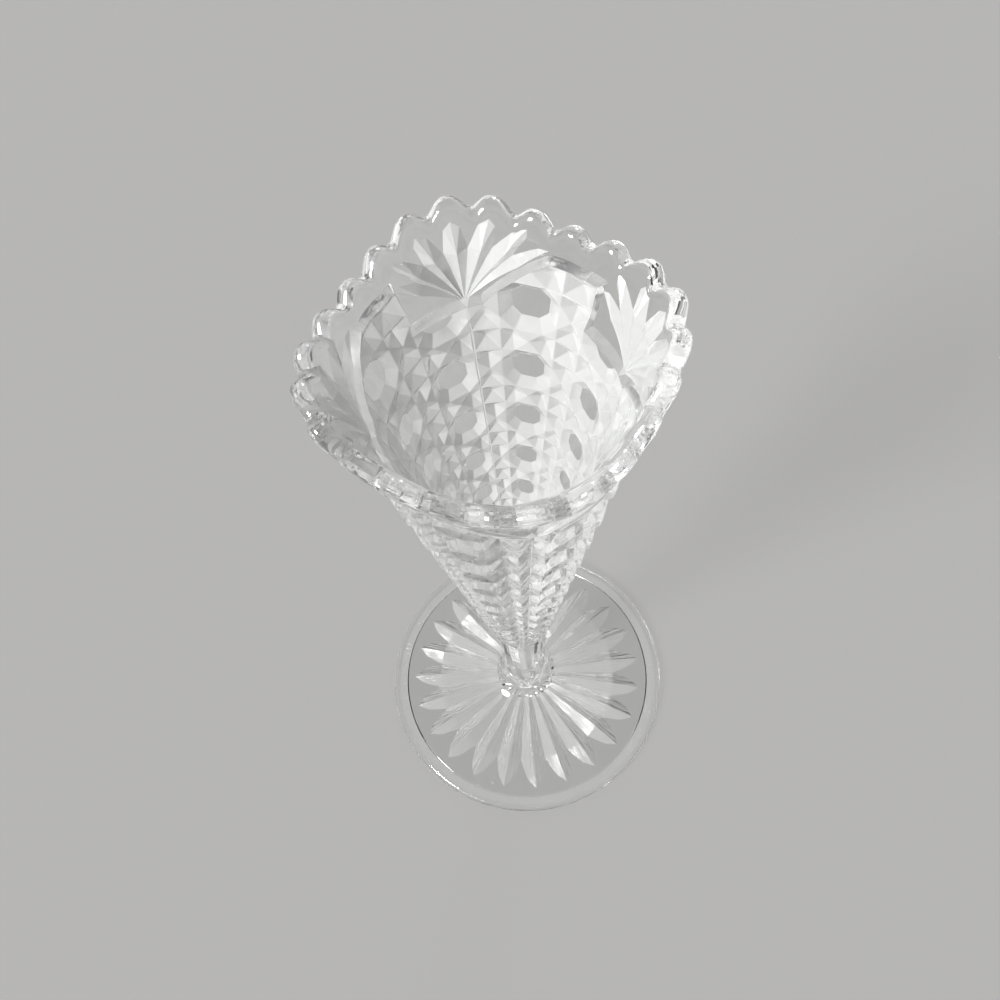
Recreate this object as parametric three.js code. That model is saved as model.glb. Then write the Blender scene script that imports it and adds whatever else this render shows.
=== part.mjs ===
// Pressed glass bud vase, millimetres, +Z up, standing on the origin.
// A trumpet bowl carries a lattice of octagonal buttons and diamond points, four fans of mitred
// petals and a scalloped rim. A short panelled stem joins it to a round foot, which has a ray of
// mitred petals pressed into its underside. The fans face +X, +Y, -X and -Y.
import * as THREE from 'three';

// Heights
const FOOT_TOP = 10;
const STEM_TOP = 47.1;
const RIM_HEIGHT = 160.6;

// Trumpet wall
const NECK_RADIUS = 7.4;
const MOUTH_RADIUS = 28.7;
const FLARE = 2.9;
const FLARE_DEPTH = 23.7;
const MOUTH_SQUARING = 1.0;
const SQUARING_DEPTH = 60.7;
const LIP_THICKNESS = 3.4;

// Cavity
const CAVITY_FLOOR_ABOVE_STEM = 12.9;
const CAVITY_FLOOR_RADIUS = 1.8;
const CAVITY_FLOOR_DISH = 2.5;
const CAVITY_FLARE = 3.5;
const CAVITY_SIDES = 48;

// Lattice: how far its top ring and its highest points lie under the rim, and the form of a cell
const CROWN_DEPTH = 16.5;
const BAND_HEIGHT = 7.4;
const BAND_BEVEL = 1.5;
const CELLS_AROUND = 24;
const BUTTON_RINGS = 11;
const GROOVE_RATIO = 0.36;
const BUTTON_FACE_RATIO = 0.6;

// Scalloped lip
const SCALLOP_RISE = 1.0;
const SCALLOP_FULLNESS = 0.15;
const CORNER_RISE = 1.0;
const LIP_SAMPLES = 4;
const LIP_STEPS = 4;

// Fan petals from the middle one outwards: angle round the vase, and depth of the tip under the rim
const FANS = 4;
const RIGHT_TIP_ANGLES = [0, 13.6, 27, 36];
const LEFT_TIP_ANGLES = [0, 13.5, 25.5, 28.4];
const RIGHT_TIP_DEPTHS = [3, 3.1, 3.8, 6.3];
const LEFT_TIP_DEPTHS = [3, 3.3, 4.7, 8.9];
const PETAL_WIDEST_RATIO = 0.68;
const PETAL_DEPTH = 1.5;
const OUTER_SHOULDER_DROP = 0.8;

// A petal's head is rounded by a corner on each side: how far back from the tip, and how far out,
// as shares of the ways from the tip to the widest place and from there to the shoulder
const HEAD_BACK_RATIO = 0.22;
const HEAD_SIDE_RATIO = 0.6;

// Cells from a fan's middle to the plain edge on either side of it
const PLAIN_RIGHT = 2.5;
const PLAIN_LEFT = 2;

// Stem
const STEM_PANELS = 8;
const STEM_WAIST_RADIUS = 5.4;
const STEM_WAIST_HEIGHT = 15;
const STEM_STEPS = 5;
const STEM_BASE_RADIUS = 6.6;
const STEM_COLLAR_RADIUS = 7.1;
const STEM_COLLAR_HEIGHT = 2.4;
const STEM_TOP_RADIUS = 6.6;

// Foot
const FOOT_RADIUS = 38;
const FOOT_EDGE_HEIGHT = 2.6;
const FOOT_WIDEST_HEIGHT = 1.1;
const FOOT_EDGE_WIDTH = 2.2;
const FOOT_EDGE_STEPS = 2;
const REST_RING_OUTER = 36.6;
const REST_RING_INNER = 34.2;
const REST_RING_STEP = 0.3;
const UNDERSIDE_RISE = 1.8;
const FOOT_PETALS = 23;
const FOOT_PETAL_TIP = 32;
const FOOT_PETAL_HEAD = 29.5;
const FOOT_PETAL_HEAD_SIDE = 0.24;
const FOOT_PETAL_WIDEST = 24.5;
const FOOT_PETAL_ROOT = 6;
const FOOT_PETAL_DEPTH = 1.9;
const FOOT_PETAL_ANGLE = 8.6;
const FOOT_RING_POINTS = 4;

// Radius and height of the dome's rings, from the stem outwards
const DOME_RINGS = [[9, 7.6], [15, 5.6], [24, 4.1], [33, 3.2]];

const CELL_ANGLE = 2 * Math.PI / CELLS_AROUND;
const SEAM_ANGLE = Math.PI / 2;
const SECTOR_CELLS = CELLS_AROUND / FANS;
const TOP_RING_HEIGHT = RIM_HEIGHT - CROWN_DEPTH;
const LIP_BASE = RIM_HEIGHT - LIP_THICKNESS / 2;
const CAVITY_FLOOR = STEM_TOP + CAVITY_FLOOR_ABOVE_STEM;

// The lattice repeats every three cells round and every three rows up; its lowest row meets the stem
const REPEAT = 3;
const CROWN_ROWS = 2;
const LOWEST_ROW = 1 - REPEAT * BUTTON_RINGS;

// A closed surface gathered from points and faces listed counterclockwise as seen from outside
class Shell {
  constructor() {
    this.points = [];
    this.faces = [];
  }

  point(radius, angle, z) {
    this.points.push([radius * Math.cos(angle), radius * Math.sin(angle), z]);
    return this.points.length - 1;
  }

  ring(count, place) {
    return Array.from({ length: count }, (_, i) => this.point(...place(i)));
  }

  polygon(corners) {
    for (let i = 1; i + 1 < corners.length; i++) {
      this.faces.push([corners[0], corners[i], corners[i + 1]]);
    }
  }

  pyramid(peak, corners) {
    corners.forEach((corner, i) => {
      this.faces.push([peak, corner, corners[(i + 1) % corners.length]]);
    });
  }

  // Joins two rings, the second above or inside the first; the longer one is a multiple of the other
  band(lower, upper) {
    const count = Math.max(lower.length, upper.length);
    const low = (i) => lower[Math.floor(i * lower.length / count) % lower.length];
    const high = (i) => upper[Math.floor(i * upper.length / count) % upper.length];
    for (let i = 0; i < count; i++) {
      const quad = [low(i), low(i + 1), high(i + 1), high(i)];
      const corners = quad.filter((corner, j) => corner !== quad[(j + 1) % 4]);
      this.polygon(corners);
    }
  }

  geometry() {
    const geometry = new THREE.BufferGeometry();
    geometry.setAttribute('position', new THREE.Float32BufferAttribute(this.points.flat(), 3));
    geometry.setIndex(this.faces.flat());
    geometry.computeVertexNormals();
    return geometry;
  }
}

function mesh(name, geometry, roughness) {
  const material = new THREE.MeshStandardMaterial({
    color: 0xf1f3f2, roughness, metalness: 0, transparent: true, opacity: 0.35,
  });
  const part = new THREE.Mesh(geometry, material);
  part.name = name;
  return part;
}

// The mouth is a rounded square whose corners are at the fans
function squareness(angle) {
  return Math.cos(FANS * (angle - SEAM_ANGLE));
}

// From 0 at a given depth under the rim to 1 at the rim
function nearRim(z, depth) {
  return Math.max(0, 1 - (RIM_HEIGHT - z) / depth);
}

// Straight cone from the neck to the mouth
function coneRadius(z) {
  const rise = (z - STEM_TOP) / (RIM_HEIGHT - STEM_TOP);
  return NECK_RADIUS + (MOUTH_RADIUS - FLARE - NECK_RADIUS) * rise;
}

function outerRadius(z, angle) {
  const flare = FLARE * nearRim(z, FLARE_DEPTH) ** 2;
  const squaring = MOUTH_SQUARING * nearRim(z, SQUARING_DEPTH) ** 3;
  return coneRadius(z) + flare + squaring * squareness(angle);
}

function cavityRadius(z) {
  const mouth = MOUTH_RADIUS - LIP_THICKNESS - CAVITY_FLARE;
  const rise = (z - CAVITY_FLOOR) / (LIP_BASE - CAVITY_FLOOR);
  const flare = CAVITY_FLARE * nearRim(z, FLARE_DEPTH) ** 2;
  return CAVITY_FLOOR_RADIUS + (mouth - CAVITY_FLOOR_RADIUS) * rise + flare;
}

// Rows shrink with the radius, so that every cell of the lattice keeps the same proportions
function rowHeight(row) {
  if (row > 0) {
    return TOP_RING_HEIGHT + (CROWN_DEPTH - BAND_HEIGHT) * row / CROWN_ROWS;
  }
  const top = coneRadius(TOP_RING_HEIGHT);
  const radius = top * (NECK_RADIUS / top) ** (row / LOWEST_ROW);
  const rise = (radius - NECK_RADIUS) / (top - NECK_RADIUS);
  return STEM_TOP + rise * (TOP_RING_HEIGHT - STEM_TOP);
}

function grooveDepth(z) {
  return GROOVE_RATIO * CELL_ANGLE * coneRadius(z);
}

// A wave per cell with full crests and narrow dips, on a slow wave that lifts the four corners
function scallop(angle) {
  const turn = CELLS_AROUND * (angle - SEAM_ANGLE);
  const wave = Math.cos(turn) + SCALLOP_FULLNESS * (1 - Math.cos(2 * turn));
  return SCALLOP_RISE * wave + CORNER_RISE * squareness(angle);
}

// The patterned outside of the bowl, addressed by cells round (from the fan facing +Y) and by height
class PatternSheet {
  constructor(shell) {
    this.shell = shell;
    this.known = new Map();
    this.places = new Map();
  }

  at(cell, z, depth) {
    const wrapped = (cell % CELLS_AROUND + CELLS_AROUND) % CELLS_AROUND;
    const key = `${wrapped.toFixed(3)} ${z.toFixed(3)}`;
    if (!this.known.has(key)) {
      const angle = SEAM_ANGLE + wrapped * CELL_ANGLE;
      this.known.set(key, this.shell.point(outerRadius(z, angle) - depth, angle, z));
    }
    const index = this.known.get(key);
    this.places.set(index, [cell, z]);
    return index;
  }

  groove(cell, row) {
    const z = rowHeight(row);
    return this.at(cell, z, grooveDepth(z));
  }

  raised(cell, row) {
    return this.at(cell, rowHeight(row), 0);
  }

  bandStart(cell) {
    return this.at(cell, RIM_HEIGHT - BAND_HEIGHT + BAND_BEVEL, 0);
  }

  // Triangulates a flat outline whose corners were just placed on this sheet
  fill(corners) {
    const outline = corners.map((corner) => new THREE.Vector2(...this.places.get(corner)));
    for (const [a, b, c] of THREE.ShapeUtils.triangulateShape(outline, [])) {
      const area = outline[b].clone().sub(outline[a]).cross(outline[c].clone().sub(outline[a]));
      const turned = area > 0 ? [a, b, c] : [a, c, b];
      this.shell.faces.push(turned.map((i) => corners[i]));
    }
  }
}

const BUTTON_EDGE = [[0.5, 0], [1.5, 0], [2, 0.5], [2, 1.5], [1.5, 2], [0.5, 2], [0, 1.5], [0, 0.5]];
const CORNERS = {
  lowerLeft: [[0, 0], [0.5, 0], [0, 0.5]],
  lowerRight: [[1.5, 0], [2, 0], [2, 0.5]],
  upperRight: [[2, 1.5], [2, 2], [1.5, 2]],
  upperLeft: [[0.5, 2], [0, 2], [0, 1.5]],
};
const POINTS = {
  rowLeft: { edge: [[0, 2], [0.5, 2], [1, 2.5], [0.5, 3], [0, 3]], peak: [0.4, 2.5] },
  rowRight: { edge: [[2, 3], [1.5, 3], [1, 2.5], [1.5, 2], [2, 2]], peak: [1.6, 2.5] },
  columnLow: { edge: [[2, 0], [3, 0], [3, 0.5], [2.5, 1], [2, 0.5]], peak: [2.5, 0.4] },
  columnHigh: { edge: [[3, 2], [2, 2], [2, 1.5], [2.5, 1], [3, 1.5]], peak: [2.5, 1.6] },
  crossing: { edge: [[2, 2], [3, 2], [3, 3], [2, 3]], peak: [2.5, 2.5] },
};
const WEDGES = {
  rowLow: [[0.5, 2], [1.5, 2], [1, 2.5]],
  rowHigh: [[1.5, 3], [0.5, 3], [1, 2.5]],
  columnLeft: [[2, 0.5], [2.5, 1], [2, 1.5]],
  columnRight: [[3, 1.5], [2.5, 1], [3, 0.5]],
};

// One repeat of the lattice, three cells square: a button of two by two cells, with diamond points
// in the row above it and in the column beside it, cut by diagonal grooves that cross between buttons
class LatticeUnit {
  constructor(sheet, cell, row) {
    this.sheet = sheet;
    this.cell = cell;
    this.row = row;
  }

  groove([a, b]) {
    return this.sheet.groove(this.cell + a, this.row + b);
  }

  raised([a, b]) {
    return this.sheet.raised(this.cell + a, this.row + b);
  }

  facet(outline) {
    this.sheet.shell.polygon(outline.map((place) => this.groove(place)));
  }

  point({ edge, peak }) {
    this.sheet.shell.pyramid(this.raised(peak), edge.map((place) => this.groove(place)));
  }

  button() {
    const inset = ([a, b]) => [1 + (a - 1) * BUTTON_FACE_RATIO, 1 + (b - 1) * BUTTON_FACE_RATIO];
    const edge = BUTTON_EDGE.map((place) => this.groove(place));
    const face = BUTTON_EDGE.map((place) => this.raised(inset(place)));
    this.sheet.shell.band(edge, face);
    this.sheet.shell.polygon(face);
  }

  // The lower half of a button, where a fan covers the rest
  halfButton() {
    const low = 1 - BUTTON_FACE_RATIO;
    const side = BUTTON_FACE_RATIO / 2;
    const face = [[1 - side, low], [1 + side, low], [2 - low, 1 - side], [low, 1 - side]];
    const [lowLeft, lowRight, right, left] = face.map((place) => this.raised(place));
    const edge = [[0.5, 0], [1.5, 0], [2, 0.5], [2, 1], [1, 1], [0, 1], [0, 0.5]];
    const [a, b, c, d, e, f, g] = edge.map((place) => this.groove(place));
    const { shell } = this.sheet;
    shell.polygon([lowLeft, lowRight, right, left]);
    shell.polygon([a, b, lowRight, lowLeft]);
    shell.polygon([b, c, right, lowRight]);
    shell.polygon([c, d, right]);
    shell.polygon([d, e, right]);
    shell.polygon([e, left, right]);
    shell.polygon([e, f, left]);
    shell.polygon([f, g, left]);
    shell.polygon([g, a, lowLeft, left]);
  }

  whole() {
    this.button();
    Object.values(CORNERS).forEach((outline) => this.facet(outline));
    Object.values(POINTS).forEach((shape) => this.point(shape));
    Object.values(WEDGES).forEach((outline) => this.facet(outline));
  }

  rowAbove() {
    [POINTS.rowLeft, POINTS.rowRight, POINTS.crossing].forEach((shape) => this.point(shape));
    [WEDGES.rowLow, WEDGES.rowHigh].forEach((outline) => this.facet(outline));
  }

  // The top repeat to the left of a fan's middle as seen from inside
  underFan() {
    this.halfButton();
    [CORNERS.lowerLeft, CORNERS.lowerRight].forEach((outline) => this.facet(outline));
    [POINTS.columnLow, POINTS.columnHigh, POINTS.crossing].forEach((shape) => this.point(shape));
    this.facet(WEDGES.columnRight);
    this.facet([[2, 0.5], [2.5, 1], [2, 1]]);
    this.facet([[2, 1], [2.5, 1], [2, 1.5]]);
  }

  // The top repeat on the other side, where the whole button shows
  besideFan() {
    this.button();
    [CORNERS.lowerLeft, CORNERS.lowerRight, CORNERS.upperLeft].forEach((outline) => this.facet(outline));
    [POINTS.rowLeft, POINTS.columnLow].forEach((shape) => this.point(shape));
    [WEDGES.rowLow, WEDGES.columnLeft].forEach((outline) => this.facet(outline));
    this.facet([[3, 1], [2.5, 1], [3, 0.5]]);
  }
}

function buildLattice(sheet) {
  for (let ring = 0; ring <= BUTTON_RINGS; ring++) {
    const row = -1 - REPEAT * ring;
    for (let cell = 0; cell < CELLS_AROUND; cell += REPEAT) {
      const unit = new LatticeUnit(sheet, cell, row);
      if (ring === BUTTON_RINGS) {
        unit.rowAbove();
      } else if (ring > 0) {
        unit.whole();
      } else if (cell % SECTOR_CELLS === 0) {
        unit.underFan();
      } else {
        unit.besideFan();
      }
    }
  }
}

// Petals of one side of a fan, as places given by cell and height
function petalPlaces(side, angles, depths) {
  const tips = angles.map((angle, i) => {
    return [side * THREE.MathUtils.degToRad(angle) / CELL_ANGLE, RIM_HEIGHT - depths[i]];
  });
  const along = ([cell, z]) => {
    return [cell * PETAL_WIDEST_RATIO, TOP_RING_HEIGHT + (z - TOP_RING_HEIGHT) * PETAL_WIDEST_RATIO];
  };
  return tips.map((tip, i) => {
    const middle = along(tip);
    let shoulder = [middle[0], middle[1] - OUTER_SHOULDER_DROP];
    if (i + 1 < tips.length) {
      shoulder = along([(tip[0] + tips[i + 1][0]) / 2, (tip[1] + tips[i + 1][1]) / 2]);
    }
    return { tip, middle, shoulder };
  });
}

// All petals of a fan from right to left, each with its two shoulders and its two head corners
function fanPetals() {
  const right = petalPlaces(-1, RIGHT_TIP_ANGLES, RIGHT_TIP_DEPTHS).reverse();
  const left = petalPlaces(1, LEFT_TIP_ANGLES, LEFT_TIP_DEPTHS);
  const shoulders = [...right, ...left].map(({ shoulder }) => shoulder);
  return [...right, ...left.slice(1)].map(({ tip, middle }, i) => {
    const head = (shoulder) => tip.map((start, k) => {
      return start + (middle[k] - start) * HEAD_BACK_RATIO + (shoulder[k] - middle[k]) * HEAD_SIDE_RATIO;
    });
    const [before, after] = [shoulders[i], shoulders[i + 1]];
    return { tip, middle, before, after, headBefore: head(before), headAfter: head(after) };
  });
}

// Seven petals spread from one point on the seam; the wall round them is plain up to the lip
function buildFan(sheet, centre, lip) {
  const place = ([across, z], depth) => sheet.at(centre + across, z, depth);
  const apex = sheet.groove(centre, 0);
  const petals = fanPetals().map((petal) => {
    const placed = {};
    for (const [corner, at] of Object.entries(petal)) {
      placed[corner] = place(at, corner === 'middle' ? PETAL_DEPTH : 0);
    }
    return placed;
  });
  for (const { tip, middle, before, after, headBefore, headAfter } of petals) {
    sheet.shell.pyramid(middle, [apex, after, headAfter, tip, headBefore, before]);
  }
  const rim = (from, to) => {
    const steps = Math.round((to - from) * LIP_SAMPLES);
    return Array.from({ length: steps + 1 }, (_, i) => lip(centre + to - i / LIP_SAMPLES));
  };
  const last = RIGHT_TIP_ANGLES.length - 1;
  for (let i = 0; i < last; i++) {
    const [nearRight, farRight] = [petals[last - i], petals[last - i - 1]];
    const aboveRight = rim(-Math.min(i + 1, PLAIN_RIGHT), -i);
    const onRight = [farRight.tip, farRight.headAfter, farRight.after, nearRight.headBefore];
    sheet.fill([...onRight, nearRight.tip, ...aboveRight]);
    const [nearLeft, farLeft] = [petals[last + i], petals[last + i + 1]];
    const aboveLeft = rim(i, Math.min(i + 1, PLAIN_LEFT));
    const onLeft = [nearLeft.tip, nearLeft.headAfter, nearLeft.after, farLeft.headBefore];
    sheet.fill([...onLeft, farLeft.tip, ...aboveLeft]);
  }
  const groove = (cell, row) => sheet.groove(centre + cell, row);
  const lower = [[-2.5, 2], [-2, 1.5], [-1.5, 1], [-1, 0.5], [-0.5, 0]].map((at) => groove(...at));
  const rightTop = sheet.bandStart(centre - PLAIN_RIGHT);
  const rightRim = lip(centre - PLAIN_RIGHT);
  const first = petals[0];
  sheet.fill([rightTop, ...lower, apex, first.before, first.headBefore, first.tip, rightRim]);
  const outer = [[1, 0], [2, 0], [2, 0.5], [2, 1], [2, 2]].map((at) => groove(...at));
  const leftTop = sheet.bandStart(centre + PLAIN_LEFT);
  const leftRim = lip(centre + PLAIN_LEFT);
  const final = petals[petals.length - 1];
  sheet.fill([apex, ...outer, leftTop, leftRim, final.tip, final.headAfter, final.after]);
}

// Plain band between two fans, with a bevel down to the lattice
function buildBand(sheet, centre, lip) {
  const half = SECTOR_CELLS / 2;
  for (const [from, to] of [[-half, -PLAIN_RIGHT], [PLAIN_LEFT, half]]) {
    const low = [from, to].map((cell) => sheet.groove(centre + cell, CROWN_ROWS));
    const high = [from, to].map((cell) => sheet.bandStart(centre + cell));
    sheet.shell.polygon([low[0], low[1], high[1], high[0]]);
    const steps = Math.round((to - from) * LIP_SAMPLES);
    const rim = Array.from({ length: steps + 1 }, (_, i) => lip(centre + to - i / LIP_SAMPLES));
    sheet.fill([high[0], high[1], ...rim]);
  }
}

// Half-round lip that follows the scallops, then the smooth cavity down to its dished floor
function buildLipAndCavity(shell, lipEdge) {
  const lipRadius = LIP_THICKNESS / 2;
  const angleOf = (i, count) => SEAM_ANGLE + i * 2 * Math.PI / count;
  let above = lipEdge;
  for (let step = 1; step <= LIP_STEPS; step++) {
    const turn = Math.PI * step / LIP_STEPS;
    const ring = shell.ring(lipEdge.length, (i) => {
      const angle = angleOf(i, lipEdge.length);
      const base = LIP_BASE + scallop(angle);
      const radius = outerRadius(base, angle) - lipRadius * (1 - Math.cos(turn));
      return [radius, angle, base + lipRadius * Math.sin(turn)];
    });
    shell.band(above, ring);
    above = ring;
  }
  const flareStart = RIM_HEIGHT - FLARE_DEPTH;
  const rings = [
    RIM_HEIGHT - FLARE_DEPTH / 3,
    RIM_HEIGHT - FLARE_DEPTH * 2 / 3,
    flareStart,
    CAVITY_FLOOR + (flareStart - CAVITY_FLOOR) * 2 / 3,
    CAVITY_FLOOR + (flareStart - CAVITY_FLOOR) / 3,
    CAVITY_FLOOR,
  ];
  for (const z of rings) {
    const ring = shell.ring(CAVITY_SIDES, (i) => [cavityRadius(z), angleOf(i, CAVITY_SIDES), z]);
    shell.band(above, ring);
    above = ring;
  }
  shell.pyramid(shell.point(0, 0, CAVITY_FLOOR - CAVITY_FLOOR_DISH), above);
}

function trumpetBowl() {
  const shell = new Shell();
  const sheet = new PatternSheet(shell);
  const lip = (cell) => {
    const angle = SEAM_ANGLE + cell * CELL_ANGLE;
    return sheet.at(cell, LIP_BASE + scallop(angle), 0);
  };
  buildLattice(sheet);
  for (let fan = 0; fan < FANS; fan++) {
    buildFan(sheet, fan * SECTOR_CELLS, lip);
    buildBand(sheet, fan * SECTOR_CELLS, lip);
  }
  const samples = CELLS_AROUND * LIP_SAMPLES;
  buildLipAndCavity(shell, Array.from({ length: samples }, (_, i) => lip(i / LIP_SAMPLES)));
  const bottom = [];
  for (let cell = 0; cell < CELLS_AROUND; cell += REPEAT) {
    bottom.push(...[0, 0.5, 1.5, 2].map((step) => sheet.groove(cell + step, LOWEST_ROW)));
  }
  shell.polygon(bottom.reverse());
  return mesh('trumpet_bowl', shell.geometry(), 0.03);
}

// Eight panels that spread in a hollow curve from a waist near the foot to a collar under the bowl
function stem() {
  const shell = new Shell();
  const collarStart = STEM_TOP - 2 * STEM_COLLAR_HEIGHT;
  const curve = Array.from({ length: STEM_STEPS + 1 }, (_, i) => {
    const share = i / STEM_STEPS;
    const radius = STEM_WAIST_RADIUS + (STEM_TOP_RADIUS - STEM_WAIST_RADIUS) * share ** 2;
    return [radius, STEM_WAIST_HEIGHT + (collarStart - STEM_WAIST_HEIGHT) * share];
  });
  const profile = [
    [STEM_BASE_RADIUS, FOOT_TOP],
    ...curve,
    [STEM_COLLAR_RADIUS, STEM_TOP - STEM_COLLAR_HEIGHT],
    [STEM_TOP_RADIUS, STEM_TOP],
  ];
  const rings = profile.map(([radius, z]) => shell.ring(STEM_PANELS, (i) => {
    return [radius, (i + 0.5) * 2 * Math.PI / STEM_PANELS, z];
  }));
  for (let i = 0; i + 1 < rings.length; i++) {
    shell.band(rings[i], rings[i + 1]);
  }
  shell.polygon(rings[0].slice().reverse());
  shell.polygon(rings[rings.length - 1]);
  return mesh('stem', shell.geometry(), 0.03);
}

// Domed foot on a flat ring; underneath, mitred petals meet along narrow ridges round the middle
function foot() {
  const shell = new Shell();
  const sector = 2 * Math.PI / FOOT_PETALS;
  const turn = THREE.MathUtils.degToRad(FOOT_PETAL_ANGLE);
  const count = FOOT_PETALS * FOOT_RING_POINTS;
  const fine = (radius, z) => shell.ring(count, (i) => [radius, turn + (i / FOOT_RING_POINTS) * sector, z]);
  const centred = (radius, z) => shell.ring(FOOT_PETALS, (i) => [radius, turn + i * sector, z]);
  const between = (radius, z) => shell.ring(FOOT_PETALS, (i) => [radius, turn + (i + 0.5) * sector, z]);
  const under = (radius) => {
    return REST_RING_STEP + (UNDERSIDE_RISE - REST_RING_STEP) * (1 - radius / REST_RING_INNER);
  };

  const waist = shell.ring(STEM_PANELS * FOOT_RING_POINTS, (i) => {
    return [STEM_BASE_RADIUS, i * 2 * Math.PI / (STEM_PANELS * FOOT_RING_POINTS), FOOT_TOP];
  });
  const dome = DOME_RINGS.map(([radius, z]) => fine(radius, z));
  const edge = [];
  for (let step = -FOOT_EDGE_STEPS; step <= FOOT_EDGE_STEPS; step++) {
    const slant = (Math.PI / 2) * step / FOOT_EDGE_STEPS;
    const width = step < 0 ? FOOT_EDGE_WIDTH : FOOT_RADIUS - REST_RING_OUTER;
    const height = step < 0 ? FOOT_EDGE_HEIGHT - FOOT_WIDEST_HEIGHT : FOOT_WIDEST_HEIGHT;
    const radius = FOOT_RADIUS - width * (1 - Math.cos(slant));
    edge.push([radius, FOOT_WIDEST_HEIGHT - height * Math.sin(slant)]);
  }
  const rest = [[REST_RING_INNER, 0], [REST_RING_INNER - REST_RING_STEP, REST_RING_STEP]];
  const sides = [...edge, ...rest].map(([radius, z]) => fine(radius, z));
  const outside = [...dome, ...sides];
  for (let i = 0; i + 1 < outside.length; i++) {
    shell.band(outside[i + 1], outside[i]);
  }
  stitch(shell, dome[0], waist);
  shell.polygon(waist);

  const plain = fine(FOOT_PETAL_TIP, under(FOOT_PETAL_TIP));
  shell.band(plain, outside[outside.length - 1]);
  const shoulders = between(FOOT_PETAL_WIDEST, under(FOOT_PETAL_WIDEST));
  const troughs = centred(FOOT_PETAL_WIDEST, under(FOOT_PETAL_WIDEST) + FOOT_PETAL_DEPTH);
  const roots = centred(FOOT_PETAL_ROOT, under(FOOT_PETAL_ROOT) + FOOT_PETAL_DEPTH / 3);
  const ridges = between(FOOT_PETAL_ROOT, under(FOOT_PETAL_ROOT));
  const heads = (side) => shell.ring(FOOT_PETALS, (i) => {
    return [FOOT_PETAL_HEAD, turn + (i + side * FOOT_PETAL_HEAD_SIDE) * sector, under(FOOT_PETAL_HEAD)];
  });
  const [headsBefore, headsAfter] = [heads(-1), heads(1)];
  for (let i = 0; i < FOOT_PETALS; i++) {
    const next = (i + 1) % FOOT_PETALS;
    const before = (i + FOOT_PETALS - 1) % FOOT_PETALS;
    const tip = plain[i * FOOT_RING_POINTS];
    const arc = [];
    for (let j = 0; j <= FOOT_RING_POINTS; j++) {
      arc.push(plain[(i * FOOT_RING_POINTS + j) % count]);
    }
    for (let j = 1; j + 1 < FOOT_RING_POINTS; j++) {
      shell.polygon([shoulders[i], arc[j + 1], arc[j]]);
    }
    shell.polygon([shoulders[i], arc[1], tip, headsAfter[i]]);
    shell.polygon([shoulders[i], headsBefore[next], arc[FOOT_RING_POINTS], arc[FOOT_RING_POINTS - 1]]);
    shell.polygon([tip, troughs[i], headsAfter[i]]);
    shell.polygon([tip, headsBefore[i], troughs[i]]);
    shell.polygon([headsAfter[i], troughs[i], shoulders[i]]);
    shell.polygon([headsBefore[i], shoulders[before], troughs[i]]);
    shell.polygon([shoulders[i], troughs[i], roots[i], ridges[i]]);
    shell.polygon([shoulders[i], ridges[i], roots[next], troughs[next]]);
  }
  const hub = [];
  for (let i = 0; i < FOOT_PETALS; i++) {
    hub.push(roots[i], ridges[i]);
  }
  const middle = shell.point(0, 0, under(0));
  shell.pyramid(middle, hub.slice().reverse());
  return mesh('foot', shell.geometry(), 0.03);
}

// Joins two rings of unlike counts by walking round both by angle
function stitch(shell, lower, upper) {
  const angle = (index) => {
    const [x, y] = shell.points[index];
    return (Math.atan2(y, x) + 2 * Math.PI) % (2 * Math.PI);
  };
  const sorted = (ring) => ring.slice().sort((a, b) => angle(a) - angle(b));
  const low = sorted(lower);
  const high = sorted(upper);
  const lowAngle = (i) => angle(low[i % low.length]) + 2 * Math.PI * Math.floor(i / low.length);
  const highAngle = (i) => angle(high[i % high.length]) + 2 * Math.PI * Math.floor(i / high.length);
  let i = 0;
  let j = 0;
  while (i < low.length || j < high.length) {
    const a = low[i % low.length];
    const b = high[j % high.length];
    if (j === high.length || (i < low.length && lowAngle(i + 1) <= highAngle(j + 1))) {
      shell.polygon([a, low[(i + 1) % low.length], b]);
      i += 1;
    } else {
      shell.polygon([a, high[(j + 1) % high.length], b]);
      j += 1;
    }
  }
}

const vase = new THREE.Group();
vase.add(foot(), stem(), trumpetBowl());

export default vase;
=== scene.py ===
"""Looks of a pressed glass bud vase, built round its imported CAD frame.

The trumpet bowl, the stem and the foot are each one closed surface of clear glass. They meet at
flat joints whose faces let light straight through, so the three read as one pressing.

The patterns of the bowl and of the foot's underside are drawn flat, cut into triangles along their
creases, and then wrapped round the vase. The bowl is drawn in cells and rows: the cells go round it
anticlockwise seen from above, cell 0 is the middle of the fan that faces +Y, and row 0 is the
height at which the fans start. Left and right are meant as seen from the vase's axis.
"""

import logging
import math
from dataclasses import dataclass
from enum import Enum
from typing import Any, Callable, Sequence

import bmesh
import bpy
import numpy as np
from mathutils import Matrix, Vector
from mathutils.geometry import delaunay_2d_cdt

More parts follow.
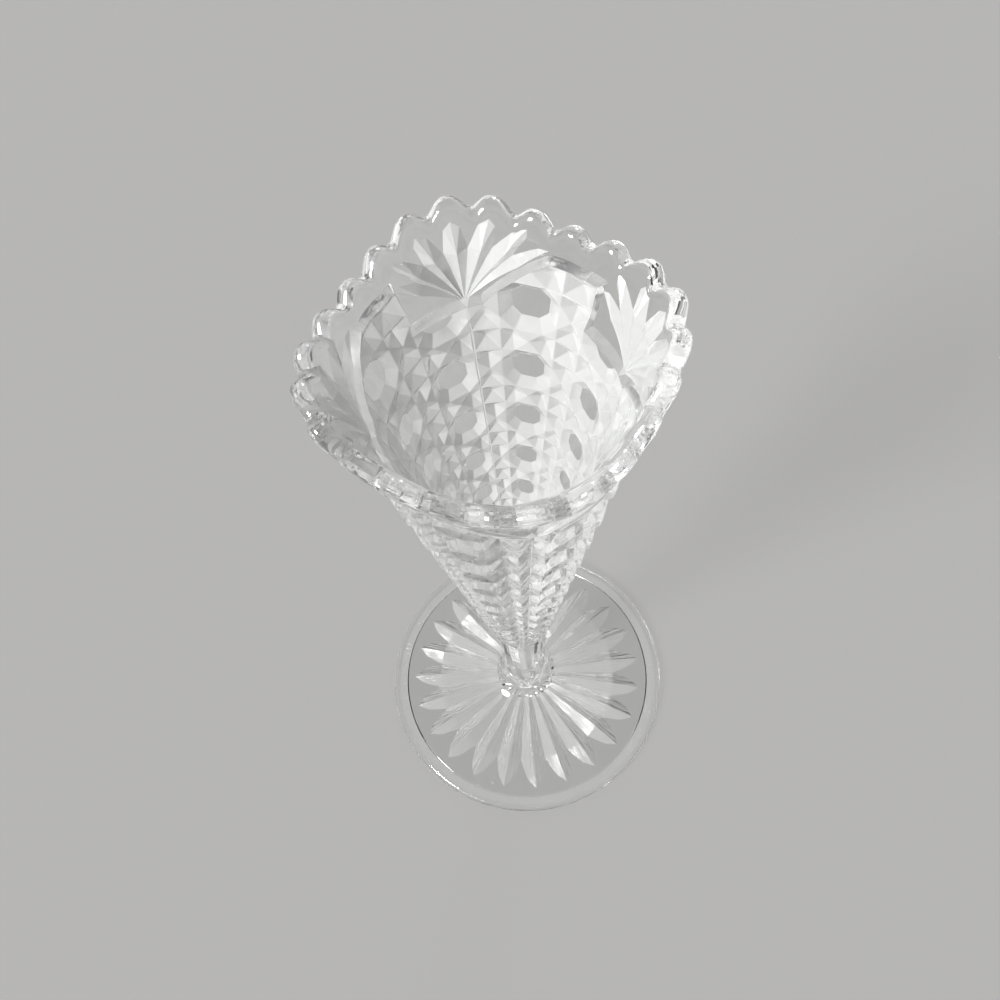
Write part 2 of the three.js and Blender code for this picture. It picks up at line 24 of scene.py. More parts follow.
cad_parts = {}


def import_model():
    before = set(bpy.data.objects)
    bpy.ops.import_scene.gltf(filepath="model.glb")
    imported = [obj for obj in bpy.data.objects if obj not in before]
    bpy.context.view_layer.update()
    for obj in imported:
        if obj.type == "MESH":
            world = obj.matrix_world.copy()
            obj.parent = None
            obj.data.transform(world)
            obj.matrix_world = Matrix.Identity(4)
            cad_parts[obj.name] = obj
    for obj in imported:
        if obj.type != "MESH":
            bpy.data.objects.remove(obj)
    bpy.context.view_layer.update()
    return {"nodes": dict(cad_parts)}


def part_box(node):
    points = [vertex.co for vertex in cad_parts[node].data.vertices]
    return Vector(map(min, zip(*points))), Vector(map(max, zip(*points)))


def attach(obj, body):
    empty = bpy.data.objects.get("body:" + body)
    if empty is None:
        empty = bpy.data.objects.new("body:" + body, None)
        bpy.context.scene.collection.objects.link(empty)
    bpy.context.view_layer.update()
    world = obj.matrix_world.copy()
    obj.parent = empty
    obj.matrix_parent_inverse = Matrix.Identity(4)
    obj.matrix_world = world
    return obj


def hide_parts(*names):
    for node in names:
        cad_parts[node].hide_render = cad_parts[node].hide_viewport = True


MM = 0.001
ROOT_BODY = "root"

# Columns of points round each piece.
COLUMNS = 288
# Difference under which two points in metres, or two heights of a pattern, are the same.
TINY = 1e-6
# Digits to which a drawing is rounded, and the distance under which two of its places are one.
DRAWN_DIGITS = 6
DRAWN_TOLERANCE = 1e-5
# Choice of the triangulation that keeps only the triangles inside the creases.
INSIDE_CREASES = 1

log = logging.getLogger("bud_vase")

ArrayMap = Callable[[np.ndarray], np.ndarray]
Inputs = dict[str | int, Any]


class FaceKind(Enum):
    """Kinds of face on the glass; the value is the material slot.

    Buttons, plain bands, lip and cavity are polished. The facets of the lattice and the petals of
    the fans are moulded. The slope that frames the lattice is stepped. The petals of the foot and
    the ring that it rests on are worn. A joint is the flat face where two pieces meet.
    """

    POLISHED = 0
    MOULDED = 1
    STEPPED = 2
    WORN = 3
    JOINT = 4


Finishes = dict[FaceKind, bpy.types.Material]


@dataclass
class Patch:
    """A stretch of surface.

    Attributes:
        points: Array of n by 3, in metres.
        triangles: Array of m by 3 numbers of points, anticlockwise seen from outside.
        kinds: Material slot of each triangle.
    """

    points: np.ndarray
    triangles: np.ndarray
    kinds: np.ndarray


def grid_patch(points: np.ndarray) -> Patch:
    """Closed rings stacked into a surface.

    The points are a grid of rings by columns. Each cell between two rings becomes two triangles,
    and the last column joins the first. Rings run anticlockwise seen from above, and the order of
    the rings decides which side is out: upwards on an outside wall.

    Args:
        points: Array of rings by columns by 3, in metres.

    Returns:
        The patch of all cells.
    """
    rings, columns, _ = points.shape
    index = np.arange(rings * columns).reshape(rings, columns)
    low, high = index[:-1], index[1:]
    low_next, high_next = np.roll(low, -1, axis=1), np.roll(high, -1, axis=1)
    first = np.stack([low, low_next, high_next], axis=-1).reshape(-1, 3)
    second = np.stack([low, high_next, high], axis=-1).reshape(-1, 3)
    triangles = np.concatenate([first, second])
    return Patch(points.reshape(-1, 3), triangles, np.full(len(triangles), FaceKind.POLISHED.value))


def disc_patch(ring: np.ndarray, faces_up: bool, kind: FaceKind) -> Patch:
    """Fan of triangles from the middle of a ring.

    Args:
        ring: Points of the ring, anticlockwise seen from above.
        faces_up: True if the disc faces up.
        kind: Kind of its faces.

    Returns:
        The patch of the disc.
    """
    count = len(ring)
    points = np.concatenate([ring, ring.mean(axis=0, keepdims=True)])
    here = np.arange(count)
    there = np.roll(here, -1)
    middle = np.full(count, count)
    order = [middle, here, there] if faces_up else [middle, there, here]
    return Patch(points, np.stack(order, axis=-1), np.full(count, kind.value))


def polar(radius: np.ndarray, angle: np.ndarray, height: np.ndarray) -> np.ndarray:
    """Points from radius, angle and height, as x = r cos a, y = r sin a, z = height."""
    radius, angle, height = np.broadcast_arrays(radius, angle, height)
    return np.stack([radius * np.cos(angle), radius * np.sin(angle), height], axis=-1)


def column_angles() -> np.ndarray:
    """Angle of each column of points, from +Y anticlockwise seen from above."""
    return math.pi / 2 + np.arange(COLUMNS) * (2 * math.pi / COLUMNS)


def chain(places: np.ndarray) -> np.ndarray:
    """Lines that join each place to the next, as an array of m by 2 by 2."""
    return np.stack([places[:-1], places[1:]], axis=1)


def loop(places: np.ndarray) -> np.ndarray:
    """Lines that join each place to the next, and the last one to the first."""
    return np.stack([places, np.roll(places, -1, axis=0)], axis=1)


def split_lines(lines: np.ndarray, longest: float) -> np.ndarray:
    """Divides each line into equal parts no longer than a given length.

    Args:
        lines: Array of m by 2 by 2.
        longest: Greatest length of a part.

    Returns:
        Array of all parts, k by 2 by 2.
    """
    length = np.linalg.norm(lines[:, 1] - lines[:, 0], axis=1)
    count = np.maximum(1, np.ceil(length / longest - TINY)).astype(int)
    line = np.repeat(np.arange(len(lines)), count)
    step = np.arange(len(line)) - np.repeat(np.cumsum(count) - count, count)
    start, run = lines[line, 0], lines[line, 1] - lines[line, 0]
    share = np.stack([step, step + 1], axis=1) / count[line][:, None]
    return start[:, None] + run[:, None] * share[:, :, None]


@dataclass(frozen=True)
class PressedCell:
    """One convex cell of a pressed pattern, in the pattern's own flat coordinates.

    Attributes:
        outline: Corners of the cell, anticlockwise.
        centre: Place of its peak.
        plateau: Share of the outline, drawn in towards the centre, that is flat on top.
    """

    outline: tuple[tuple[float, float], ...]
    centre: tuple[float, float]
    plateau: float = 0.0

    def height(self, places: np.ndarray) -> np.ndarray:
        """Height of the cell, from 0 on its outline to 1 at its centre or on its plateau.

        For each side of the outline, the distance of a place from the centre along the side's
        normal is divided by the side's own distance. The largest of these shares is 1 on the
        outline; what is left of it up to 1, stretched by the plateau, is the height.

        Args:
            places: Array of n by 2.

        Returns:
            Array of n heights.
        """
        corners = np.array(self.outline)
        along = np.roll(corners, -1, axis=0) - corners
        normal = np.stack([along[:, 1], -along[:, 0]], axis=-1)
        centre = np.array(self.centre)
        reach = ((corners - centre) * normal).sum(axis=1)
        share = ((places - centre) @ normal.T / reach).max(axis=1)
        return np.clip((1 - share) / (1 - self.plateau), 0, 1)

    def lines(self) -> np.ndarray:
        """Creases of the cell: its outline, its plateau and the spokes between them.

        Returns:
            Array of m by 2 by 2, start and end of each line.
        """
        corners = np.array(self.outline)
        centre = np.array(self.centre)
        inner = centre + (corners - centre) * self.plateau
        creases = [loop(corners), np.stack([corners, inner], axis=1)]
        if self.plateau > 0:
            creases.append(loop(inner))
        return np.concatenate(creases)


def highest(cells: Sequence[PressedCell], places: np.ndarray) -> np.ndarray:
    """Height of a pattern: at each place that of its highest cell."""
    return np.max([cell.height(places) for cell in cells], axis=0)


@dataclass
class PressedSheet:
    """A patterned surface, drawn flat and then wrapped round the vase.

    Attributes:
        lines: Creases of the pattern, as an array of m by 2 by 2.
        fill: Extra places in smooth regions, so that they follow the curve of the wall.
        wrap: Turns places on the drawing into points in metres.
        inside: Tells which places lie on the drawing.
        kind: Gives the kind of face at each place, as a material slot.
    """

    lines: np.ndarray
    fill: np.ndarray
    wrap: ArrayMap
    inside: ArrayMap
    kind: ArrayMap

    def patch(self) -> Patch:
        """Triangulates the drawing with every crease as an edge, and wraps it.

        Returns:
            The wrapped patch.
        """
        ends = np.round(self.lines.reshape(-1, 2), DRAWN_DIGITS)
        places, index = np.unique(ends, axis=0, return_inverse=True)
        edges = np.unique(np.sort(index.reshape(-1, 2), axis=1), axis=0)
        edges = edges[edges[:, 0] != edges[:, 1]]
        corners = [Vector(place) for place in np.concatenate([places, self.fill])]
        found = delaunay_2d_cdt(
            corners, edges.tolist(), [], INSIDE_CREASES, DRAWN_TOLERANCE, False
        )
        drawn = np.array([tuple(place) for place in found[0]])
        triangles = np.array(found[2])
        triangles = triangles[self.inside(drawn[triangles].mean(axis=1))]
        one, other = (drawn[triangles[:, k]] - drawn[triangles[:, 0]] for k in (1, 2))
        backward = one[:, 0] * other[:, 1] < one[:, 1] * other[:, 0]
        triangles[backward] = triangles[backward][:, ::-1]
        return Patch(self.wrap(drawn), triangles, self.kind(drawn[triangles].mean(axis=1)))


@dataclass(frozen=True)
class TrumpetShape:
    """Form of the trumpet bowl's two walls, in metres.

    Attributes:
        stem_top: Height at which the bowl meets the stem.
        rim_height: Mean height of the rim.
        neck_radius: Radius of the cone at the stem.
        mouth_radius: Mean outer radius of the mouth.
        flare: How far the mouth stands out from the straight cone.
        flare_depth: Depth under the rim at which the flare starts.
        squaring: How far the mouth's corners stand out from its mean radius.
        squaring_depth: Depth under the rim at which the squaring starts.
        lip_thickness: Thickness of the lip.
        scallop_rise: Height of a scallop's wave over its mean.
        scallop_fullness: Share of a second wave, which fills the crests and narrows the dips.
        corner_rise: How far the rim is lifted at its corners.
        crown_depth: Depth of the fans' lowest point under the rim.
        band_height: Height of the plain band over the lattice, between two fans.
        crown_rows: Rows of the lattice beside a fan.
        cells_around: Cells round the vase.
        fans: Number of fans.
        lowest_row: Row at which the lattice ends, at the stem.
        groove_share: Depth of a groove, as a share of a cell's width.
        floor_above_stem: Height of the lower end of the cavity's cone above the stem.
        floor_radius: Radius of the cavity there.
        cavity_flare: How far the cavity's mouth stands out from its straight cone.
    """

    stem_top: float
    rim_height: float
    neck_radius: float = 7.4 * MM
    mouth_radius: float = 28.7 * MM
    flare: float = 2.9 * MM
    flare_depth: float = 23.7 * MM
    squaring: float = 1.0 * MM
    squaring_depth: float = 60.7 * MM
    lip_thickness: float = 3.4 * MM
    scallop_rise: float = 1.0 * MM
    scallop_fullness: float = 0.15
    corner_rise: float = 1.0 * MM
    crown_depth: float = 16.5 * MM
    band_height: float = 7.4 * MM
    crown_rows: int = 2
    cells_around: int = 24
    fans: int = 4
    lowest_row: int = -32
    groove_share: float = 0.36
    floor_above_stem: float = 12.9 * MM
    floor_radius: float = 1.8 * MM
    cavity_flare: float = 3.5 * MM

    @property
    def cell_angle(self) -> float:
        """Angle of one cell of the lattice."""
        return 2 * math.pi / self.cells_around

    @property
    def top_ring(self) -> float:
        """Height at which the fans start."""
        return self.rim_height - self.crown_depth

    @property
    def crown_step(self) -> float:
        """Height of one row beside the fans."""
        return (self.crown_depth - self.band_height) / self.crown_rows

    @property
    def lip_base(self) -> float:
        """Mean height at which the lip starts to round over."""
        return self.rim_height - self.lip_thickness / 2

    @property
    def floor(self) -> float:
        """Height of the lower end of the cavity's cone."""
        return self.stem_top + self.floor_above_stem

    @property
    def columns(self) -> np.ndarray:
        """Cell of each column of points round the vase."""
        return np.arange(COLUMNS) * (self.cells_around / COLUMNS)

    def angle(self, cell: np.ndarray) -> np.ndarray:
        """Angle round the vase of a place given in cells."""
        return math.pi / 2 + cell * self.cell_angle

    def near_rim(self, height: np.ndarray, depth: float) -> np.ndarray:
        """Rises from 0 at a depth under the rim to 1 at the rim."""
        return np.maximum(0, 1 - (self.rim_height - height) / depth)

    def corner(self, cell: np.ndarray) -> np.ndarray:
        """Wave that is 1 at each fan and -1 between fans."""
        return np.cos(self.fans * cell * self.cell_angle)

    def scallop(self, cell: np.ndarray) -> np.ndarray:
        """Rise and fall of the rim: a wave per cell with full crests and narrow dips, on a slow
        wave that lifts the corners.

        Args:
            cell: Places round the vase, in cells.

        Returns:
            The rim's height over its mean at each place.
        """
        turn = 2 * math.pi * cell
        wave = np.cos(turn) + self.scallop_fullness * (1 - np.cos(2 * turn))
        return self.scallop_rise * wave + self.corner_rise * self.corner(cell)

    def cone_radius(self, height: np.ndarray) -> np.ndarray:
        """Radius of the straight cone between the neck and the mouth."""
        rise = (height - self.stem_top) / (self.rim_height - self.stem_top)
        return self.neck_radius + (self.mouth_radius - self.flare - self.neck_radius) * rise

    def outer_radius(self, height: np.ndarray, cell: np.ndarray) -> np.ndarray:
        """Outer wall: the cone, a flare that grows with the square of the nearness to the rim, and
        a squaring of the mouth that grows with its cube.

        Args:
            height: Heights, in metres.
            cell: Places round the vase, in cells.

        Returns:
            The wall's radius, without its pattern.
        """
        flare = self.flare * self.near_rim(height, self.flare_depth) ** 2
        squaring = self.squaring * self.near_rim(height, self.squaring_depth) ** 3
        return self.cone_radius(height) + flare + squaring * self.corner(cell)

    def cavity_radius(self, height: np.ndarray) -> np.ndarray:
        """Cavity wall: a straight cone from the floor to the lip, and a flare that grows with the
        square of the nearness to the rim.

        Args:
            height: Heights, in metres.

        Returns:
            The cavity's radius.
        """
        mouth = self.mouth_radius - self.lip_thickness - self.cavity_flare
        rise = (height - self.floor) / (self.lip_base - self.floor)
        flare = self.cavity_flare * self.near_rim(height, self.flare_depth) ** 2
        return self.floor_radius + (mouth - self.floor_radius) * rise + flare

    def row_height(self, row: np.ndarray) -> np.ndarray:
        """Height of a row. Below the fans each row is shorter than the one above by the same
        share, so that the radius falls to the neck's at the lowest row; above, rows are even.

        Args:
            row: Places up the drawing, in rows.

        Returns:
            Their heights, in metres.
        """
        top = self.cone_radius(self.top_ring)
        radius = top * (self.neck_radius / top) ** (np.minimum(row, 0) / self.lowest_row)
        rise = (radius - self.neck_radius) / (top - self.neck_radius)
        below = self.stem_top + rise * (self.top_ring - self.stem_top)
        return below + self.crown_step * np.maximum(row, 0)

    def row_at(self, height: np.ndarray) -> np.ndarray:
        """Row of a height above the start of the fans."""
        return (height - self.top_ring) / self.crown_step

    def groove_depth(self, height: np.ndarray) -> np.ndarray:
        """Depth of the lattice's grooves, a fixed share of a cell's width."""
        return self.groove_share * self.cell_angle * self.cone_radius(height)


# Cells of the lattice, drawn in cells and rows from the first corner of their repeat. The half
# button is drawn from its own first corner.
BUTTON = PressedCell(
    ((0.5, 0), (1.5, 0), (2, 0.5), (2, 1.5), (1.5, 2), (0.5, 2), (0, 1.5), (0, 0.5)),
    (1, 1),
    0.6,
)
HALF_BUTTON = PressedCell(
    ((0.5, 0), (1.5, 0), (2, 0.5), (2, 1), (0, 1), (0, 0.5)), (1, 0.56), 0.5
)
HALF_BUTTON_SIZE = (2, 1)
ROW_LEFT = PressedCell(((0, 2), (0.5, 2), (1, 2.5), (0.5, 3), (0, 3)), (0.4, 2.5))
ROW_RIGHT = PressedCell(((2, 3), (1.5, 3), (1, 2.5), (1.5, 2), (2, 2)), (1.6, 2.5))
COLUMN_LOW = PressedCell(((2, 0), (3, 0), (3, 0.5), (2.5, 1), (2, 0.5)), (2.5, 0.4))
COLUMN_HIGH = PressedCell(((3, 2), (2, 2), (2, 1.5), (2.5, 1), (3, 1.5)), (2.5, 1.6))
CROSSING = PressedCell(((2, 2), (3, 2), (3, 3), (2, 3)), (2.5, 2.5))

# Cells and rows of one repeat, and the row at which the highest repeat starts.
REPEAT = 3
FIRST_ROW = -1


class UnitKind(Enum):
    """Repeats of the lattice: whole, cut by a fan, beside a fan, or the lowest row of points."""

    WHOLE = (BUTTON, ROW_LEFT, ROW_RIGHT, COLUMN_LOW, COLUMN_HIGH, CROSSING)
    UNDER_FAN = (HALF_BUTTON, COLUMN_LOW, COLUMN_HIGH, CROSSING)
    BESIDE_FAN = (BUTTON, ROW_LEFT, COLUMN_LOW)
    LOWEST = (ROW_LEFT, ROW_RIGHT, CROSSING)


@dataclass(frozen=True)
class FanShape:
    """Seven petals spread from one point of the seam.

    Attributes:
        right_angles: Angle of each tip from the seam on the right, in degrees.
        left_angles: The same on the left.
        right_depths: Depth of each tip under the rim on the right, in metres.
        left_depths: The same on the left.
        widest: Share of a petal's length at which it is widest and deepest.
        depth: Depth of the mitre cut there.
        outer_drop: How far the outermost petal's free edge lies under its middle.
        head_back: How far back from the tip a head's corners lie, as a share of the way to the
            widest place.
        head_side: How far out they lie, as a share of the way from there to a shoulder.
    """

    right_angles: tuple[float, ...] = (0, 13.6, 27, 36)
    left_angles: tuple[float, ...] = (0, 13.5, 25.5, 28.4)
    right_depths: tuple[float, ...] = (3 * MM, 3.1 * MM, 3.8 * MM, 6.3 * MM)
    left_depths: tuple[float, ...] = (3 * MM, 3.3 * MM, 4.7 * MM, 8.9 * MM)
    widest: float = 0.68
    depth: float = 1.5 * MM
    outer_drop: float = 0.8 * MM
    head_back: float = 0.22
    head_side: float = 0.6

    def cells(self, shape: TrumpetShape) -> list[PressedCell]:
        """Outline of each petal, in cells and rows from the fan's lowest point.

        Args:
            shape: The bowl that the fan lies on.

        Returns:
            The seven petals from right to left.
        """
        right = self._side(shape, -1, self.right_angles, self.right_depths)[::-1]
        left = self._side(shape, 1, self.left_angles, self.left_depths)
        shoulders = [petal[2] for petal in right + left]
        petals = right + left[1:]
        return [
            self._petal(petal, before, after)
            for petal, before, after in zip(petals, shoulders, shoulders[1:])
        ]

    def _side(
        self, shape: TrumpetShape, side: int, angles: tuple[float, ...], depths: tuple[float, ...]
    ) -> list[np.ndarray]:
        """Tip, middle and outer shoulder of each petal on one side.

        Args:
            shape: The bowl.
            side: 1 on the left, -1 on the right.
            angles: Angle of each tip.
            depths: Depth of each tip under the rim.

        Returns:
            For each petal an array of the three places.
        """
        cells = side * np.radians(angles) / shape.cell_angle
        rows = shape.row_at(shape.rim_height - np.array(depths))
        tips = np.stack([cells, rows], axis=1)
        between = (tips[:-1] + tips[1:]) / 2 * self.widest
        drop = shape.row_at(shape.top_ring + self.outer_drop)
        last = tips[-1] * self.widest - np.array([0, drop])
        shoulders = np.concatenate([between, last[None]])
        return list(np.stack([tips, tips * self.widest, shoulders], axis=1))

    def _petal(self, petal: np.ndarray, before: np.ndarray, after: np.ndarray) -> PressedCell:
        """One petal: its root, both shoulders, both corners of its rounded head, and its tip.

        Args:
            petal: Its tip, middle and own shoulder.
            before: Its shoulder on the right.
            after: Its shoulder on the left.

        Returns:
            The petal as a cell whose peak is its deepest place.
        """
        tip, middle = petal[0], petal[1]
        back = tip + (middle - tip) * self.head_back
        heads = [back + (shoulder - middle) * self.head_side for shoulder in (after, before)]
        outline = (np.zeros(2), after, heads[0], tip, heads[1], before)
        return PressedCell(tuple(map(tuple, outline)), tuple(middle))


@dataclass(frozen=True)
class LatticeDrawing:
    """The lattice of buttons and diamond points with its fans, drawn in cells and rows.

    Attributes:
        shape: Form of the bowl.
        fan: Form of a fan.
        left_edge: Place of the lattice's upright edge on the left of a fan, in cells.
        right_edge: Place at which its edge on the right starts, from where it leans away from the
            fan by a cell with every row.
        slope: Width of the slope from the lattice's edge up to the plain wall, in cells.
        corner_points: Points of the arc by which the slope goes round a corner.
        seam_width: Half width of a mould seam, in cells.
        seam_guard: Distance from a seam's middle up to which creases stay unrounded, in cells.
        seam_rise: Height of a mould seam, in metres.
        seam_start: Height above the lattice's lower end at which a seam starts, in rows.
        facet_turn: Angle from a button's middle at which its flat face meets the curve of the wall.
        first_cell: Cell at which the drawing is cut open, midway between two fans.
        petal_step: Longest part of a petal's crease, so that it follows the curve of the wall.
        slope_step: The same for the slope's upper edge.
        fill_start: First of the extra places on the plain band, from the first cell and row 0.
        fill_step: Spacing of those places, in cells and rows.
        fill_below_lip: Least distance of those places from the lip, in rows.
        fill_beside_slope: Their least distance from the slope, in cells.
        tolerance: Distance under which a place lies on a line.
    """

    shape: TrumpetShape
    fan: FanShape
    left_edge: float = 2.0
    right_edge: float = -0.5
    slope: float = 0.12
    corner_points: int = 5
    seam_width: float = 0.045
    seam_guard: float = 0.12
    seam_rise: float = 0.3 * MM
    seam_start: float = 0.5
    facet_turn: float = math.radians(5.5)
    first_cell: int = -3
    petal_step: float = 0.3
    slope_step: float = 0.25
    fill_start: tuple[float, float] = (0.125, 0.1)
    fill_step: tuple[float, float] = (0.25, 0.22)
    fill_below_lip: float = 0.12
    fill_beside_slope: float = 0.05
    tolerance: float = 1e-4

    @property
    def last_cell(self) -> int:
        """Cell at which the drawing ends, where its start follows on."""
        return self.first_cell + self.shape.cells_around

    @property
    def fan_spacing(self) -> int:
        """Cells from one fan to the next."""
        return self.shape.cells_around // self.shape.fans

    @property
    def border(self) -> np.ndarray:
        """Upper edge of the lattice round one fan, from right to left.

        Returns:
            Array of 6 by 2, in cells and rows from the fan's lowest point.
        """
        rows = self.shape.crown_rows
        half = self.fan_spacing / 2
        right = [(-half, rows), (self.right_edge - rows, rows), (self.right_edge, 0)]
        left = [(self.left_edge, 0), (self.left_edge, rows), (half, rows)]
        return np.array(right + left)

    @property
    def slope_edge(self) -> np.ndarray:
        """Upper edge of the slope round one fan: the lattice's edge moved out by the slope's width,
        with an arc round each of its two standing corners.

        Returns:
            Array of n by 2, from right to left, in cells and rows from the fan's lowest point.
        """
        start, right_corner, _, _, left_corner, end = self.border
        width = self.slope
        upright, lean, across = math.pi / 2, math.pi / 4, math.pi
        turn = np.stack([
            np.linspace(upright, lean, self.corner_points),
            np.linspace(across, upright, self.corner_points),
        ])
        right, left = width * np.stack([np.cos(turn), np.sin(turn)], axis=2)
        low = [
            (self.right_edge + width * (math.sqrt(2) - 1), width),
            (self.left_edge - width, width),
        ]
        return np.concatenate([
            [start + (0, width)], right + right_corner, low, left + left_corner, [end + (0, width)]
        ])

    def from_fan(self, places: np.ndarray) -> np.ndarray:
        """The same places, with cells counted from the nearest fan.

        Args:
            places: Array of n by 2, in cells and rows.

        Returns:
            Array of n by 2.
        """
        half = self.fan_spacing / 2
        cell = (places[:, 0] + half) % self.fan_spacing - half
        return np.stack([cell, places[:, 1]], axis=1)

    def in_unit(self, places: np.ndarray) -> np.ndarray:
        """The same places, counted from the first corner of their repeat."""
        return np.stack([places[:, 0] % REPEAT, (places[:, 1] - FIRST_ROW) % REPEAT], axis=1)

    def in_lattice(self, places: np.ndarray) -> np.ndarray:
        """Tells the lattice from the fans and the plain band.

        Args:
            places: Array of n by 2, in cells and rows.

        Returns:
            Array of n, true where the lattice lies.
        """
        cell, row = self.from_fan(places).T
        low = row <= self.tolerance
        crown = row <= self.shape.crown_rows + self.tolerance
        left = cell >= self.left_edge - self.tolerance
        right = cell + row <= self.right_edge + self.tolerance
        return low | (crown & (left | right))

    def petal_height(self, near_fan: np.ndarray) -> np.ndarray:
        """Depth of the petals as a share of the deepest, at places counted from their fan."""
        return highest(self.fan.cells(self.shape), near_fan)

    def distance(self, near_fan: np.ndarray) -> np.ndarray:
        """Distance of places, counted from their fan, to the lattice's upper edge.

        Args:
            near_fan: Array of n by 2.

        Returns:
            Array of n distances, in cells.
        """
        start, run = self.border[:-1], np.diff(self.border, axis=0)
        offset = near_fan[:, None] - start
        share = np.clip((offset * run).sum(axis=2) / (run * run).sum(axis=1), 0, 1)
        return np.linalg.norm(offset - share[:, :, None] * run, axis=2).min(axis=1)

    def units(self) -> list[tuple[UnitKind, int, int]]:
        """Every repeat of the lattice, with the cell and row of its first corner.

        Returns:
            A list of kind, cell and row.
        """
        found = []
        last = self.shape.lowest_row - (REPEAT - 1)
        for row in range(FIRST_ROW, last - 1, -REPEAT):
            for cell in range(self.first_cell, self.last_cell, REPEAT):
                kind = UnitKind.WHOLE
                if row == FIRST_ROW:
                    under = cell % self.fan_spacing == 0
                    kind = UnitKind.UNDER_FAN if under else UnitKind.BESIDE_FAN
                elif row < self.shape.lowest_row:
                    kind = UnitKind.LOWEST
                found.append((kind, cell, row))
        return found

    def lines(self) -> np.ndarray:
        """All creases of the drawing, cut to length where the wall curves.

        Returns:
            Array of m by 2 by 2.
        """
        drawn = {kind: np.concatenate([cell.lines() for cell in kind.value]) for kind in UnitKind}
        parts = [drawn[kind] + np.array([cell, row]) for kind, cell, row in self.units()]
        of_fan = self._fan_lines()
        first_fan = self.first_cell + self.fan_spacing // 2
        for cell in range(first_fan, self.last_cell, self.fan_spacing):
            parts.append(of_fan + np.array([cell, 0]))
        return np.concatenate([*parts, self._outline()])

    def _fan_lines(self) -> np.ndarray:
        """Petals of a fan, the edges of the lattice and its slope round it, and the seam under it.

        Returns:
            Array of m by 2 by 2, in cells and rows from the fan's lowest point.
        """
        parts = [split_lines(cell.lines(), self.petal_step) for cell in self.fan.cells(self.shape)]
        parts.append(chain(self.border))
        parts.append(split_lines(chain(self.slope_edge), self.slope_step))
        seam_end = self.shape.lowest_row + self.seam_start
        for half_width in (0, self.seam_width, self.seam_guard):
            for side in (-half_width, half_width):
                parts.append(chain(np.array([(side, seam_end), (side, 0)], float)))
        return np.concatenate(parts)

    def _outline(self) -> np.ndarray:
        """Outer edges of the drawing: the lip, the lower end and the two cut sides.

        Returns:
            Array of m by 2 by 2.
        """
        shape = self.shape
        cells = np.arange(COLUMNS + 1) * (shape.cells_around / COLUMNS) + self.first_cell
        lip = np.stack([cells, shape.row_at(shape.lip_base + shape.scallop(cells))], axis=1)
        low = np.stack([cells, np.full_like(cells, shape.lowest_row)], axis=1)
        parts = [chain(lip), chain(low)]
        for side in (0, -1):
            rows = [shape.crown_rows, shape.crown_rows + self.slope, lip[side, 1]]
            parts.append(chain(np.stack([np.full(len(rows), cells[side]), rows], axis=1)))
        return np.concatenate(parts)

    def below_lip(self, places: np.ndarray) -> np.ndarray:
        """True for places under the scalloped upper edge of the drawing."""
        edge = self.shape.lip_base + self.shape.scallop(places[:, 0])
        return places[:, 1] < self.shape.row_at(edge)

    def kind(self, places: np.ndarray) -> np.ndarray:
        """Kind of face: the facets of the lattice and the petals are moulded, the slope round the
        lattice is stepped, and the faces of the buttons and the plain band are polished.

        Args:
            places: Array of n by 2, in cells and rows.

        Returns:
            Array of n material slots.
        """
        near_fan = self.from_fan(places)
        in_lattice = self.in_lattice(places)
        facet = in_lattice & (BUTTON.height(self.in_unit(places)) < 1 - TINY)
        slope = ~in_lattice & (self.distance(near_fan) < self.slope)
        plain = np.where(slope, FaceKind.STEPPED.value, FaceKind.POLISHED.value)
        moulded = facet | (self.petal_height(near_fan) > 0)
        return np.where(moulded, FaceKind.MOULDED.value, plain)

    def fill(self) -> np.ndarray:
        """Places on the plain band and round the petals, on a grid clear of the creases.

        Returns:
            Array of n by 2.
        """
        shape = self.shape
        across = np.arange(self.first_cell + self.fill_start[0], self.last_cell, self.fill_step[0])
        up = np.arange(self.fill_start[1], shape.row_at(shape.rim_height), self.fill_step[1])
        places = np.stack(np.meshgrid(across, up), axis=-1).reshape(-1, 2)
        near_fan = self.from_fan(places)
        lip = shape.row_at(shape.lip_base + shape.scallop(places[:, 0]))
        keep = (places[:, 1] < lip - self.fill_below_lip) & ~self.in_lattice(places)
        keep &= self.petal_height(near_fan) == 0
        keep &= self.distance(near_fan) > self.slope + self.fill_beside_slope
        return places[keep]

    def wrap(self, places: np.ndarray) -> np.ndarray:
        """Places of the drawing on the bowl's outer wall.

        On the lattice the wall lies lower by the groove depth, less the height of the cell there;
        a button's face is flattened by the cosine of its turn from the button's middle. On the
        plain wall it lies lower along the lattice's edge and in the petals, whichever is deeper.
        A mould seam stands on the groove under each fan, and fades out over a row at both ends.

        Args:
            places: Array of n by 2, in cells and rows.

        Returns:
            Array of n by 3, in metres.
        """
        shape = self.shape
        row = places[:, 1]
        near_fan = self.from_fan(places)
        unit = self.in_unit(places)
        height = shape.row_height(row)
        groove = shape.groove_depth(height)
        raised = self._raised(places)
        slope_depth = groove * np.clip(1 - self.distance(near_fan) / self.slope, 0, 1)
        plain_depth = np.maximum(slope_depth, self.fan.depth * self.petal_height(near_fan))
        in_lattice = self.in_lattice(places)
        depth = np.where(in_lattice, groove * (1 - raised), plain_depth)
        face = in_lattice & (np.minimum(raised, BUTTON.height(unit)) > 1 - TINY)
        turn = (unit[:, 0] - BUTTON.centre[0]) * shape.cell_angle
        radius = shape.outer_radius(height, places[:, 0])
        radius = np.where(face, radius * math.cos(self.facet_turn) / np.cos(turn), radius)
        seam = np.clip(1 - np.abs(near_fan[:, 0]) / self.seam_width, 0, 1)
        fade = np.clip(row - shape.lowest_row - self.seam_start, 0, 1) * np.clip(-row, 0, 1)
        return polar(
            radius - (depth - self.seam_rise * seam * fade), shape.angle(places[:, 0]), height
        )

